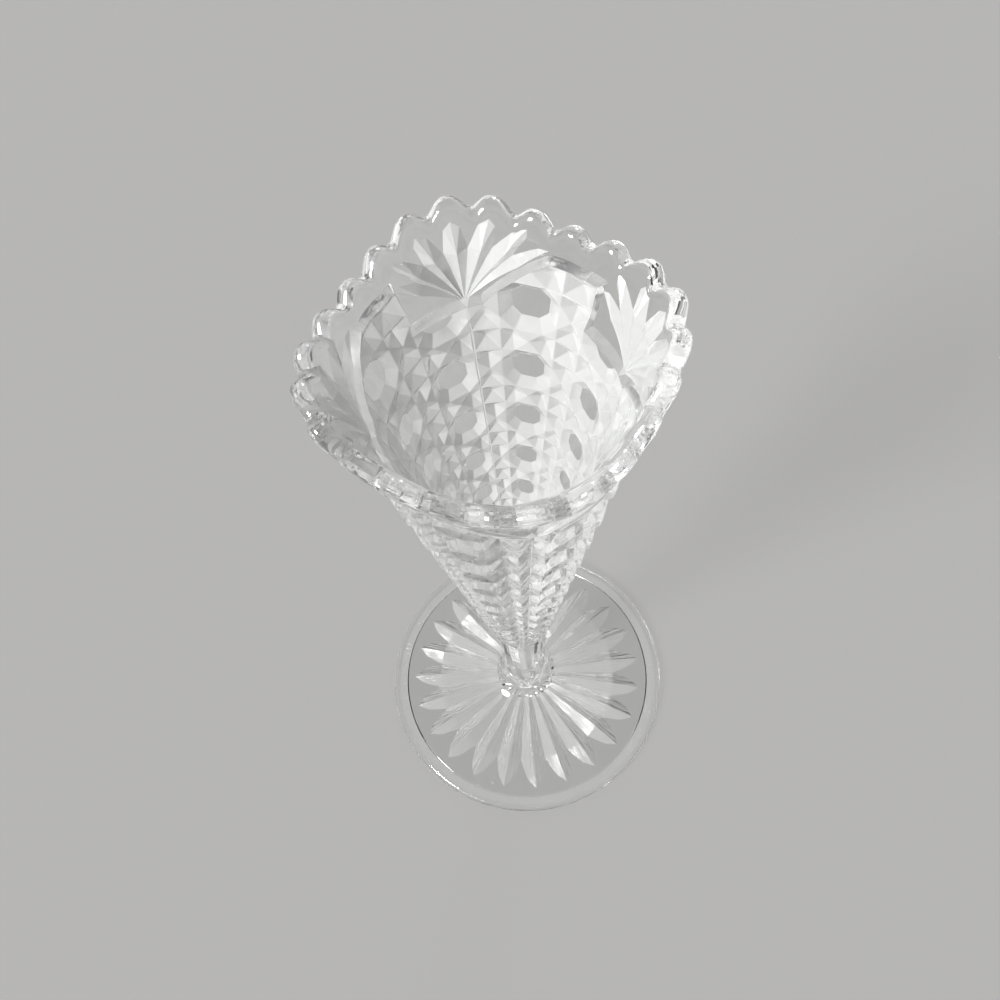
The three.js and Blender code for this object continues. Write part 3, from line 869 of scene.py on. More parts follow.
    def _raised(self, places: np.ndarray) -> np.ndarray:
        """Height of the lattice's cells, with a half button under each fan.

        Args:
            places: Array of n by 2, in cells and rows.

        Returns:
            Array of n heights, from 0 in a groove to 1 on a peak or a button.
        """
        half_unit = np.stack([self.from_fan(places)[:, 0], places[:, 1] - FIRST_ROW], axis=1)
        middle = np.array(HALF_BUTTON_SIZE) / 2
        on_half = (np.abs(half_unit - middle) < middle + self.tolerance).all(axis=1)
        whole = highest(UnitKind.WHOLE.value, self.in_unit(places))
        return np.where(on_half, HALF_BUTTON.height(half_unit), whole)


@dataclass(frozen=True)
class Wiring:
    """Node tree of a material or of the world.

    Attributes:
        tree: The tree.
    """

    tree: bpy.types.NodeTree

    @classmethod
    def of(cls, owner: bpy.types.Material | bpy.types.World) -> "Wiring":
        """Turns the nodes of a material or of the world on, and takes its tree."""
        owner.use_nodes = True
        return cls(owner.node_tree)

    def add(self, kind: str, inputs: Inputs, operation: str = "") -> bpy.types.Node:
        """Adds a node.

        Args:
            kind: Blender's name of this kind of node.
            inputs: For each input, by name or number, its value or the output that feeds it.
            operation: What a node of arithmetic does.

        Returns:
            The node.
        """
        node = self.tree.nodes.new(kind)
        if operation:
            node.operation = operation
        self.feed(node, inputs)
        return node

    def feed(self, node: bpy.types.Node, inputs: Inputs) -> None:
        """Sets inputs of a node.

        Args:
            node: The node.
            inputs: For each input, by name or number, its value or the output that feeds it.
        """
        for name, value in inputs.items():
            if isinstance(value, bpy.types.NodeSocket):
                self.tree.links.new(value, node.inputs[name])
            else:
                node.inputs[name].default_value = value

    def math(self, operation: str, one: Any, other: Any) -> bpy.types.NodeSocket:
        """Adds a node of arithmetic on two values or outputs, and gives its result."""
        return self.add("ShaderNodeMath", {0: one, 1: other}, operation).outputs["Value"]

    def show(self, surface: bpy.types.NodeSocket, output: str) -> None:
        """Makes a shader the one that is seen, through the tree's output node."""
        self.feed(self.tree.nodes[output], {"Surface": surface})


@dataclass(frozen=True)
class GlassFinish:
    """Clear pressed glass with the faint waves and streaks that a mould leaves.

    Lamps shine through it with a small loss, so that its shadow is as light as real glass casts.

    Attributes:
        name: Name of the material.
        tint: Colour of the glass.
        shadow: Colour of its shadow.
        clearness: Share of the light that goes through; the rest is a faint bloom on the surface.
        inner_clearness: The same where the surface is met from inside the glass, as facets are that
        show through the cavity; None where both sides are alike. The extra white bloom on that
        side is a painted reflection: it stands in for the light that facets reflect inside the
            glass.
        refraction: Index of refraction.
        smooth: Least roughness.
        worn: Greatest roughness.
        haze_share: Patches of roughness, as a share of the number of waves.
        haze_detail: Detail of their noise.
        haze_range: Values of that noise at which the roughness is least and greatest.
        wave_scale: Waves of the surface per metre.
        wave_detail: Detail of their noise.
        wave_depth: Depth of the waves, in metres.
        streaks: Streaks from the axis outwards, per radian.
        streak_detail: Detail of their noise.
        streak_drift: How fast they change outwards, as a share of the number of waves.
        streak_depth: Depth of the streaks, in metres.
    """

    name: str
    tint: tuple[float, float, float] = (0.985, 0.99, 0.985)
    shadow: tuple[float, float, float] = (0.95, 0.95, 0.95)
    clearness: float = 1.0
    inner_clearness: float | None = None
    refraction: float = 1.5
    smooth: float = 0.0
    worn: float = 0.04
    haze_share: float = 0.6
    haze_detail: float = 4.0
    haze_range: tuple[float, float] = (0.45, 0.75)
    wave_scale: float = 160.0
    wave_detail: float = 1.5
    wave_depth: float = 0.02 * MM
    streaks: float = 0.0
    streak_detail: float = 2.0
    streak_drift: float = 0.5
    streak_depth: float = 0.0

    def material(self) -> bpy.types.Material:
        """Makes the material.

        Returns:
            A material of one Principled shader, with its roughness and bump from noise.
        """
        made = bpy.data.materials.new(self.name)
        wiring = Wiring.of(made)
        shader = wiring.tree.nodes["Principled BSDF"]
        place = wiring.add("ShaderNodeTexCoord", {}).outputs["Object"]
        wiring.feed(shader, {
            "Base Color": (*self.tint, 1.0),
            "Transmission Weight": self.clearness,
            "IOR": self.refraction,
            "Roughness": self._roughness(wiring, place),
            "Normal": self._relief(wiring, place),
        })
        # Painted reflection: where the surface is met from inside the glass, more of it is white
        # bloom lit by the lamps, standing in for the light that facets reflect inside the glass.
        if self.inner_clearness is not None:
            wiring.feed(shader, {"Transmission Weight": self._clearness_by_side(wiring)})
        self._let_lamps_through(wiring, shader.outputs["BSDF"])
        return made

    def _clearness_by_side(self, wiring: Wiring) -> bpy.types.NodeSocket:
        """Clearness that differs between the outside of the surface and its inside. The lower
        clearness inside gives a white bloom, lit by the lamps, that stands in for the light that
        facets reflect inside the glass: a painted reflection.

        Args:
            wiring: The material's nodes.

        Returns:
            The clearness.
        """
        side = wiring.add("ShaderNodeNewGeometry", {}).outputs["Backfacing"]
        share = wiring.add("ShaderNodeMapRange", {
            "Value": side,
            "To Min": self.clearness,
            "To Max": self.inner_clearness,
        })
        return share.outputs["Result"]

    def _roughness(self, wiring: Wiring, place: bpy.types.NodeSocket) -> bpy.types.NodeSocket:
        """Roughness that runs from smooth to worn in soft patches.

        Args:
            wiring: The material's nodes.
            place: Object coordinates.

        Returns:
            The roughness.
        """
        haze = wiring.add("ShaderNodeTexNoise", {
            "Vector": place,
            "Scale": self.wave_scale * self.haze_share,
            "Detail": self.haze_detail,
        })
        spread = wiring.add("ShaderNodeMapRange", {
            "Value": haze.outputs["Fac"],
            "From Min": self.haze_range[0],
            "From Max": self.haze_range[1],
            "To Min": self.smooth,
            "To Max": self.worn,
        })
        return spread.outputs["Result"]

    def _relief(self, wiring: Wiring, place: bpy.types.NodeSocket) -> bpy.types.NodeSocket:
        """Bump of the faint waves, and under it that of the streaks where there are any.

        Args:
            wiring: The material's nodes.
            place: Object coordinates.

        Returns:
            The bumped normal.
        """
        wave = wiring.add("ShaderNodeTexNoise", {
            "Vector": place,
            "Scale": self.wave_scale,
            "Detail": self.wave_detail,
        })
        bump = self._bump(wiring, wave, self.wave_depth)
        if self.streaks:
            streaks = self._bump(wiring, self._streak_noise(wiring, place), self.streak_depth)
            wiring.feed(bump, {"Normal": streaks.outputs["Normal"]})
        return bump.outputs["Normal"]

    @staticmethod
    def _bump(wiring: Wiring, noise: bpy.types.Node, depth: float) -> bpy.types.Node:
        """Adds a bump node that takes its height from a noise."""
        inputs = {"Strength": 1.0, "Distance": depth, "Height": noise.outputs["Fac"]}
        return wiring.add("ShaderNodeBump", inputs)

    def _streak_noise(self, wiring: Wiring, place: bpy.types.NodeSocket) -> bpy.types.Node:
        """Noise of the fine streaks that run out from the axis.

        The noise is read on a circle of one radius for every distance from the axis, so that it
        changes fast round the vase and slowly outwards.

        Args:
            wiring: The material's nodes.
            place: Object coordinates.

        Returns:
            The noise node.
        """
        flat = wiring.add("ShaderNodeVectorMath", {0: place, 1: (1, 1, 0)}, "MULTIPLY")
        facing = wiring.add("ShaderNodeVectorMath", {0: flat.outputs["Vector"]}, "NORMALIZE")
        drift = self.wave_scale * self.streak_drift
        slow = wiring.add("ShaderNodeVectorMath", {0: place, "Scale": drift}, "SCALE")
        circle = wiring.add("ShaderNodeVectorMath", {
            0: facing.outputs["Vector"],
            1: (self.streaks,) * 3,
            2: slow.outputs["Vector"],
        }, "MULTIPLY_ADD")
        return wiring.add("ShaderNodeTexNoise", {
            "Vector": circle.outputs["Vector"],
            "Scale": 1.0,
            "Detail": self.streak_detail,
        })

    def _let_lamps_through(self, wiring: Wiring, glass: bpy.types.NodeSocket) -> None:
        """Makes the material see-through for shadow rays and for light scattered by a dull surface.

        Without the second, a lamp would light the floor under the foot twice: straight through
        and by the bent rays.

        Args:
            wiring: The material's nodes.
            glass: The shader of the glass.
        """
        path = wiring.add("ShaderNodeLightPath", {}).outputs
        # The depth counts whole bounces, so a half lies between none and one.
        scattered = wiring.math("GREATER_THAN", path["Diffuse Depth"], 0.5)
        straight = wiring.math("MAXIMUM", path["Is Shadow Ray"], scattered)
        lamp_side = wiring.add("ShaderNodeBsdfTransparent", {"Color": (*self.shadow, 1.0)})
        mix = wiring.add("ShaderNodeMixShader", {
            "Fac": straight,
            1: glass,
            2: lamp_side.outputs["BSDF"],
        })
        wiring.show(mix.outputs["Shader"], "Material Output")


@dataclass(frozen=True)
class JointFinish:
    """The flat face where two pieces of one pressing meet: light goes straight through.

    Attributes:
        name: Name of the material.
    """

    name: str = "glass_joint"

    def material(self) -> bpy.types.Material:
        """Makes the material.

        Returns:
            A material of one Transparent shader.
        """
        made = bpy.data.materials.new(self.name)
        wiring = Wiring.of(made)
        wiring.tree.nodes.remove(wiring.tree.nodes["Principled BSDF"])
        clear = wiring.add("ShaderNodeBsdfTransparent", {})
        wiring.show(clear.outputs["BSDF"], "Material Output")
        return made


def make_finishes() -> Finishes:
    """Makes the material of each kind of face.

    Returns:
        The materials.
    """
    moulded = GlassFinish(
        "moulded_glass",
        clearness=0.82,
        # Painted reflection: seen from inside the glass the facets are mostly white bloom, which
        # stands in for the light that they reflect there.
        inner_clearness=0.42,
        smooth=0.04,
        worn=0.14,
        streaks=40.0,
        streak_depth=0.05 * MM,
    )
    stepped = GlassFinish(
        "stepped_glass",
        clearness=0.8,
        smooth=0.06,
        worn=0.2,
        streaks=40.0,
        streak_depth=0.03 * MM,
    )
    worn = GlassFinish(
        "worn_glass",
        clearness=0.78,
        smooth=0.06,
        worn=0.2,
        streaks=40.0,
        streak_depth=0.2 * MM,
    )
    return {
        FaceKind.POLISHED: GlassFinish("polished_glass").material(),
        FaceKind.MOULDED: moulded.material(),
        FaceKind.STEPPED: stepped.material(),
        FaceKind.WORN: worn.material(),
        FaceKind.JOINT: JointFinish().material(),
    }


def make_piece(name: str, patches: list[Patch]) -> bpy.types.Object:
    """Joins patches into one closed mesh.

    Args:
        name: Name of the piece.
        patches: Its patches, whose points become one where they meet.

    Returns:
        The new object, smooth shaded.
    """
    offsets = np.cumsum([0] + [len(patch.points) for patch in patches[:-1]])
    points = np.concatenate([patch.points for patch in patches])
    triangles = np.concatenate([p.triangles + start for p, start in zip(patches, offsets)])
    kinds = np.concatenate([patch.kinds for patch in patches])
    mesh = bpy.data.meshes.new(name)
    mesh.from_pydata(points.tolist(), [], triangles.tolist())
    mesh.polygons.foreach_set("material_index", kinds.astype(np.int32))
    mesh.polygons.foreach_set("use_smooth", np.ones(len(kinds), bool))
    joined = bmesh.new()
    joined.from_mesh(mesh)
    bmesh.ops.remove_doubles(joined, verts=joined.verts, dist=TINY)
    bmesh.ops.dissolve_degenerate(joined, dist=TINY, edges=joined.edges)
    open_edges = sum(not edge.is_manifold for edge in joined.edges)
    joined.to_mesh(mesh)
    joined.free()
    piece = bpy.data.objects.new(name, mesh)
    bpy.context.scene.collection.objects.link(piece)
    log.info("%s: %d triangles, %d open edges", name, len(mesh.polygons), open_edges)
    return piece


def no_rounding(middles: np.ndarray) -> np.ndarray:
    """Share of the edge rounding on a piece whose creases all stay sharp."""
    return np.zeros(len(middles))


@dataclass(frozen=True)
class EdgeFinish:
    """Softened edges of a piece.

    Attributes:
        width: Width of the rounding on the widest part, in metres.
        least_angle: Angle between two faces from which their edge is a crease.
        segments: Faces across the rounding.
    """

    width: float = 0.25 * MM
    least_angle: float = math.radians(11)
    segments: int = 2

    def apply(self, piece: bpy.types.Object, share: ArrayMap) -> None:
        """Rounds the creases of a piece, or marks them sharp where the share is nothing.

        Args:
            piece: The piece.
            share: Gives for each edge's middle the share of the full width that it gets.
        """
        mesh = piece.data
        middles, angles = self._creases(mesh)
        crease = angles > self.least_angle
        shares = np.where(crease, share(middles), 0).astype(np.float32)
        weight = mesh.attributes.new("bevel_weight_edge", "FLOAT", "EDGE")
        weight.data.foreach_set("value", shares)
        sharp = mesh.attributes.new("sharp_edge", "BOOLEAN", "EDGE")
        sharp.data.foreach_set("value", crease & (shares == 0))
        if not shares.any():
            return
        bevel = piece.modifiers.new("softened_edges", "BEVEL")
        bevel.limit_method = "WEIGHT"
        bevel.offset_type = "OFFSET"
        bevel.width = self.width
        bevel.segments = self.segments
        bevel.use_clamp_overlap = False
        bevel.harden_normals = True

    @staticmethod
    def _creases(mesh: bpy.types.Mesh) -> tuple[np.ndarray, np.ndarray]:
        """Middle of each edge, and the angle between its two faces.

        Args:
            mesh: A closed mesh of triangles.

        Returns:
            Array of m by 3 and array of m angles.
        """
        points = np.empty(len(mesh.vertices) * 3, np.float32)
        mesh.vertices.foreach_get("co", points)
        ends = np.empty(len(mesh.edges) * 2, np.int32)
        mesh.edges.foreach_get("vertices", ends)
        normals = np.empty(len(mesh.polygons) * 3, np.float32)
        mesh.polygons.foreach_get("normal", normals)
        of_loop = np.empty(len(mesh.loops), np.int32)
        mesh.loops.foreach_get("edge_index", of_loop)
        order = np.argsort(of_loop, kind="stable")
        first = np.searchsorted(of_loop[order], np.arange(len(mesh.edges)))
        faces = order // 3
        normals = normals.reshape(-1, 3)
        one = normals[faces[first]]
        other = normals[faces[np.minimum(first + 1, len(faces) - 1)]]
        cosine = np.clip((one * other).sum(axis=1), -1, 1)
        middles = points.reshape(-1, 3)[ends.reshape(-1, 2)].mean(axis=1)
        return middles, np.arccos(cosine)


def dress(piece: bpy.types.Object, node: str, finishes: Finishes) -> None:
    """Gives a piece its finishes and ties it to the frame.

    Args:
        piece: The piece.
        node: The CAD node that it stands for.
        finishes: Material of each kind of face.
    """
    for kind in FaceKind:
        piece.data.materials.append(finishes[kind])
    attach(piece, ROOT_BODY)
    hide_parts(node)


@dataclass
class TrumpetBowl:
    """The patterned bowl with its scalloped lip and its smooth cavity.

    Attributes:
        drawing: Pattern of the outer wall.
        node: CAD node that it stands for.
        dish: Depth of the dished floor under the cavity's cone, in metres.
        round_share: Share of the flare's depth in which the cavity turns from squared to round.
        lip_rings: Rings over the lip.
        flare_rings: Rings down each of the two parts of the cavity's flare.
        cone_rings: Rings down its cone.
        floor_rings: Rings over its floor.
        edges: Rounding of the creases.
        end_guard: Height above the stem up to which creases stay sharp, in metres.
        wall_guard: Distance outside the cavity's wall up to which they do, in metres.
        border_guard: Distance from the lattice's upper edge up to which they do, in cells.
    """

    drawing: LatticeDrawing
    node: str = "trumpet_bowl"
    dish: float = 2.5 * MM
    round_share: float = 1 / 3
    lip_rings: int = 15
    flare_rings: int = 9
    cone_rings: int = 13
    floor_rings: int = 8
    edges: EdgeFinish = EdgeFinish()
    end_guard: float = 0.2 * MM
    wall_guard: float = 0.5 * MM
    border_guard: float = 0.05

    def build(self, finishes: Finishes) -> bpy.types.Object:
        """Makes the bowl and dresses it.

        Args:
            finishes: Material of each kind of face.

        Returns:
            The bowl.
        """
        drawing = self.drawing
        shape = drawing.shape
        sheet = PressedSheet(
            drawing.lines(), drawing.fill(), drawing.wrap, drawing.below_lip, drawing.kind
        )
        inside = self._lip_and_cavity()
        bottom = drawing.wrap(np.stack([shape.columns, np.full(COLUMNS, shape.lowest_row)], 1))
        patches = [
            sheet.patch(),
            grid_patch(inside),
            disc_patch(inside[-1], True, FaceKind.POLISHED),
            disc_patch(bottom, False, FaceKind.JOINT),
        ]
        piece = make_piece("trumpet_bowl_glass", patches)
        self.edges.apply(piece, self._rounding)
        dress(piece, self.node, finishes)
        return piece

    def _lip_and_cavity(self) -> np.ndarray:
        """Rings over the lip and down the cavity.

        The lip is half a circle that follows the scallops. Under it the cavity runs from the lip's
        squared inner edge to its own round section, the difference falling with the square of the
        way down. The floor is a quarter of an ellipse.

        Returns:
            Array of rings by columns by 3.
        """
        shape = self.drawing.shape
        cell = shape.columns
        angle = shape.angle(cell)
        lip = shape.lip_thickness / 2
        base = shape.lip_base + shape.scallop(cell)
        outside = shape.outer_radius(base, cell)
        turn = np.linspace(0, math.pi, self.lip_rings)[:, None]
        over = polar(outside - lip * (1 - np.cos(turn)), angle, base + lip * np.sin(turn))
        round_from = shape.rim_height - shape.flare_depth * self.round_share
        way = np.linspace(0, 1, self.flare_rings)[1:, None]
        height = base + (round_from - base) * way
        offset = outside - 2 * lip - shape.cavity_radius(base)
        under = polar(shape.cavity_radius(height) + offset * (1 - way) ** 2, angle, height)
        flare_start = shape.rim_height - shape.flare_depth
        levels = np.concatenate([
            np.linspace(round_from, flare_start, self.flare_rings)[1:],
            np.linspace(flare_start, shape.floor, self.cone_rings)[1:],
        ])[:, None]
        cone = polar(shape.cavity_radius(levels), angle, levels)
        dip = np.linspace(0, math.pi / 2, self.floor_rings)[1:-1, None]
        floor = polar(
            shape.floor_radius * np.cos(dip), angle, shape.floor - self.dish * np.sin(dip)
        )
        return np.concatenate([over, under, cone, floor])

    def _rounding(self, middles: np.ndarray) -> np.ndarray:
        """Share of the edge rounding: by the cell's size on the lattice, none elsewhere.

        Args:
            middles: Middle of each edge, as an array of m by 3.

        Returns:
            Array of m shares.
        """
        drawing = self.drawing
        shape = drawing.shape
        radius = np.hypot(middles[:, 0], middles[:, 1])
        angle = np.arctan2(middles[:, 1], middles[:, 0])
        cell = (angle - math.pi / 2) / shape.cell_angle
        row = np.minimum(shape.row_at(middles[:, 2]), shape.crown_rows + 1)
        places = np.stack([cell, row], axis=1)
        near_fan = drawing.from_fan(places)
        on_seam = np.abs(near_fan[:, 0]) < drawing.seam_guard - drawing.tolerance
        at_end = middles[:, 2] < shape.stem_top + self.end_guard
        inside = radius < shape.cavity_radius(middles[:, 2]) + self.wall_guard
        at_border = drawing.distance(near_fan) < self.border_guard
        bare = on_seam | at_end | inside | at_border | ~drawing.in_lattice(places)
        return np.where(bare, 0, np.minimum(1, radius / shape.mouth_radius))


@dataclass
class Stem:
    """Short stem of eight panels with a collar under the bowl.

    Attributes:
        base: Height of its foot joint, in metres.
        top: Height of its bowl joint.
        top_radius: Radius of the bowl joint.
        node: CAD node that it stands for.
        base_radius: Radius of the foot joint.
        waist_radius: Radius at its narrowest place.
        waist_rise: Height of that place above the foot joint.
        shoulder_radius: Radius at which the collar starts.
        collar_radius: Greatest radius of the collar.
        collar_height: Height of each of the collar's two halves.
        panels: Number of panels.
        end_fade: Height over which the panels fade out at each end.
        rings: Rings from end to end.
    """

    base: float
    top: float
    top_radius: float
    node: str = "stem"
    base_radius: float = 6.6 * MM
    waist_radius: float = 5.4 * MM
    waist_rise: float = 5.0 * MM
    shoulder_radius: float = 6.6 * MM
    collar_radius: float = 7.1 * MM
    collar_height: float = 2.4 * MM
    panels: int = 8
    end_fade: float = 2.2 * MM
    rings: int = 61

    def radius(self, height: np.ndarray, angle: np.ndarray) -> np.ndarray:
        """Radius of the stem. It is eased from station to station by half a cosine wave, but grows
        from the waist to the shoulder with the square of the way. It is multiplied by the section
        of the panels, one over the cosine of the turn from a panel's middle, which fades out at
        both ends.

        Args:
            height: Heights, in metres.
            angle: Angles round the stem.

        Returns:
            The radius at each height and angle.
        """
        shoulder = self.top - 2 * self.collar_height
        collar = self.top - self.collar_height
        stations = np.array([self.base, self.base + self.waist_rise, shoulder, collar, self.top])
        radii = np.array([
            self.base_radius,
            self.waist_radius,
            self.shoulder_radius,
            self.collar_radius,
            self.top_radius,
        ])
        station = np.searchsorted(stations, height, side="right") - 1
        station = np.clip(station, 0, len(stations) - 2)
        share = (height - stations[station]) / (stations[station + 1] - stations[station])
        wave = (1 - np.cos(math.pi * np.clip(share, 0, 1))) / 2
        over_waist = stations[station] == self.base + self.waist_rise
        eased = np.where(over_waist, share**2, wave)
        plain = radii[station] + (radii[station + 1] - radii[station]) * eased
        sector = 2 * math.pi / self.panels
        turn = (angle % sector) - sector / 2
        panel = math.cos(sector / 2) / np.cos(turn)
        end = np.clip(np.minimum(height - self.base, self.top - height) / self.end_fade, 0, 1)
        fade = end**2 * (3 - 2 * end)
        return plain * (1 + (panel - 1) * fade)

    def build(self, finishes: Finishes) -> bpy.types.Object:
        """Makes the stem and dresses it.

        Args:
            finishes: Material of each kind of face.

        Returns:
            The stem.
        """
        angle = column_angles()
        height = np.linspace(self.base, self.top, self.rings)[:, None]
        rings = polar(self.radius(height, angle - math.pi / self.panels), angle, height)
        patches = [
            grid_patch(rings),
            disc_patch(rings[0], False, FaceKind.JOINT),
            disc_patch(rings[-1], True, FaceKind.JOINT),
        ]
        piece = make_piece("stem_glass", patches)
        EdgeFinish().apply(piece, no_rounding)
        dress(piece, self.node, finishes)
        return piece


@dataclass
class Foot:
    """Domed round foot with a ray of petals pressed into its underside.

    The underside is drawn with petals as one coordinate and the distance from the axis as the
    other.

    Attributes:
        outer_radius: Radius of the foot, in metres.
        top: Height of its joint with the stem.
        joint_radius: Radius of that joint.
        node: CAD node that it stands for.
        edge_height: Height at which the rounded edge ends and the dome starts.
        widest_height: Height at which the edge is widest.
        upper_round: Width of the edge's rounding above that height.
        lower_round: Width of its rounding below.
        edge_rings: Rings round the edge.
        dome_slope: Steady slope of the dome.
        dome_fall: Power of one over the radius by which the dome sweeps up into the stem.
        dome_rings: Rings over the dome.
        rest_inner: Inner radius of the flat ring that the vase stands on.
        rest_step: Height and width of the step inside that ring.
        rise: Height of the hollow underside over the table, on the axis.
        hub_shares: Rings inside the petals' roots, as shares of their radius.
        petals: Number of petals.
        petal_tip: Radius of their tips.
        petal_head: Radius of the corners of their rounded heads.
        petal_head_side: Distance of those corners from the ridge between two petals, in petals.
        petal_widest: Radius at which they are widest and deepest.
        petal_root: Radius of their roots.
        petal_depth: Depth at their widest place.
        petal_turn: Angle of the first ridge. It is a whole number of columns, so that the underside
            and the edge meet point for point.
        petal_circles: Circles of the drawing from root to widest place, and from there to the head.
        circle_parts: Parts of a circle in each petal.
        unit: Length that is 1 on the drawing, outwards.
    """

    outer_radius: float
    top: float
    joint_radius: float
    node: str = "foot"
    edge_height: float = 2.6 * MM
    widest_height: float = 1.1 * MM
    upper_round: float = 2.2 * MM
    lower_round: float = 1.4 * MM
    edge_rings: int = 17
    dome_slope: float = 0.105
    dome_fall: float = 2.2
    dome_rings: int = 41
    rest_inner: float = 34.2 * MM
    rest_step: float = 0.3 * MM
    rise: float = 1.8 * MM
    hub_shares: tuple[float, ...] = (0.35, 0.7, 1.0)
    petals: int = 23
    petal_tip: float = 32.0 * MM
    petal_head: float = 29.5 * MM
    petal_head_side: float = 0.24
    petal_widest: float = 24.5 * MM
    petal_root: float = 6.0 * MM
    petal_depth: float = 1.9 * MM
    petal_turn: float = math.radians(8.75)
    petal_circles: tuple[int, int] = (7, 4)
    circle_parts: int = 4
    unit: float = 7.0 * MM

    @property
    def rest_outer(self) -> float:
        """Outer radius of the flat ring that the vase stands on."""
        return self.outer_radius - self.lower_round

    def build(self, finishes: Finishes) -> bpy.types.Object:
        """Makes the foot and dresses it.

        Args:
            finishes: Material of each kind of face.

        Returns:
            The foot.
        """
        sheet = PressedSheet(
            self._lines(), np.empty((0, 2)), self._wrap, self._everywhere, self._kind
        )
        upper = self._edge_and_dome()
        patches = [
            sheet.patch(),
            grid_patch(upper),
            disc_patch(upper[-1], True, FaceKind.JOINT),
            *self._hub(),
        ]
        piece = make_piece("foot_glass", patches)
        EdgeFinish().apply(piece, no_rounding)
        dress(piece, self.node, finishes)
        return piece

    def _lines(self) -> np.ndarray:
        """Creases of the underside: ridges, valleys, the heads of the petals, and circles that
        follow the curve.

        Returns:
            Array of m by 2 by 2, in petals round and units outwards.
        """
        radii = (self.petal_root, self.petal_widest, self.petal_head, self.petal_tip)
        root, widest, head, tip = (radius / self.unit for radius in radii)
        outer = self.rest_outer / self.unit
        circles = np.concatenate([
            np.linspace(self.petal_root, self.petal_widest, self.petal_circles[0]),
            np.linspace(self.petal_widest, self.petal_head, self.petal_circles[1])[1:],
            [self.petal_tip, self.rest_inner - self.rest_step, self.rest_inner],
        ]) / self.unit
        rounds = [chain(np.array([(0, circle), (self.petals, circle)])) for circle in circles]
        columns = np.arange(COLUMNS + 1) * (self.petals / COLUMNS)
        sides = [[(side, root), (side, outer)] for side in (0, self.petals)]
        parts = [
            split_lines(np.concatenate(rounds), 1 / self.circle_parts),
            chain(np.stack([columns, np.full_like(columns, outer)], axis=1)),
            np.array(sides, float),
        ]
        for petal in range(self.petals):
            middle = petal + 0.5
            before, after = petal + self.petal_head_side, petal + 1 - self.petal_head_side
            parts.append(np.array([
                [(petal, root), (petal, tip)],
                [(middle, root), (middle, widest)],
                [(middle, widest), (before, head)],
                [(before, head), (petal, tip)],
                [(middle, widest), (after, head)],
                [(after, head), (petal + 1, tip)],
            ], float))
        return np.concatenate(parts)

    @staticmethod
    def _everywhere(places: np.ndarray) -> np.ndarray:
        """True for every place: the underside fills its drawing."""
        return np.ones(len(places), bool)

    def _kind(self, places: np.ndarray) -> np.ndarray:
        """Kind of face: worn in the petals and on the flat ring, and polished between them.

        Args:
            places: Array of n by 2, in petals and units.

        Returns:
            Array of n material slots.
        """
        radius = places[:, 1] * self.unit
        worn = (self._depth(places[:, 0], radius) > 0) | (radius > self.rest_inner)
        return np.where(worn, FaceKind.WORN.value, FaceKind.POLISHED.value)

    def _depth(self, petal: np.ndarray, radius: np.ndarray) -> np.ndarray:
        """Depth of the petals: a V across each petal. Its depth grows from a third at the root to
        the whole at the widest place, and from there it falls with the width of the rounded head,
        which narrows in two straight runs to nothing at the tip.

        Args:
            petal: Places round the foot, in petals.
            radius: Distance from the axis, in metres.

        Returns:
            The depth at each place.
        """
        across = np.abs((petal + 0.5) % 1 - 0.5)
        stations = (self.petal_widest, self.petal_head, self.petal_tip)
        head = np.interp(radius, stations, (1, 2 * self.petal_head_side, 0))
        way = (radius - self.petal_root) / (self.petal_widest - self.petal_root)
        deepest = self.petal_depth * (1 + 2 * np.minimum(way, 1)) / 3 * head
        half_width = np.maximum(0.5 * head, TINY * MM)
        return deepest * np.clip(1 - across / half_width, 0, 1)

    def _hollow(self, radius: np.ndarray) -> np.ndarray:
        """Height of the underside between the petals: inside the flat ring a small step, and then a
        shallow cone up to the axis.

        Args:
            radius: Distance from the axis, in metres.

        Returns:
            The height at each distance.
        """
        step = np.clip(self.rest_inner - radius, 0, self.rest_step)
        way = np.clip(1 - radius / (self.rest_inner - self.rest_step), 0, 1)
        return step + (self.rise - self.rest_step) * way

    def _angle(self, petal: np.ndarray) -> np.ndarray:
        """Angle round the foot of a place given in petals."""
        return self.petal_turn + petal * (2 * math.pi / self.petals)

    def _wrap(self, places: np.ndarray) -> np.ndarray:
        """Places of the drawing on the underside, with the petals cut into its hollow.

        Args:
            places: Array of n by 2, in petals and units.

        Returns:
            Array of n by 3, in metres.
        """
        radius = places[:, 1] * self.unit
        height = self._hollow(radius) + self._depth(places[:, 0], radius)
        return polar(radius, self._angle(places[:, 0]), height)

    def _hub(self) -> list[Patch]:
        """Middle of the underside, in which the depth of the petals at their roots falls with the
        square of the radius.

        Returns:
            A patch of rings and the disc inside them.
        """
        petal = np.arange(self.petals * self.circle_parts) / self.circle_parts
        cut = self._depth(petal, np.full_like(petal, self.petal_root))
        share = np.array(self.hub_shares)[:, None]
        radius = self.petal_root * share
        rings = polar(radius, self._angle(petal), self._hollow(radius) + cut * share**2)
        return [grid_patch(rings), disc_patch(rings[0], False, FaceKind.POLISHED)]

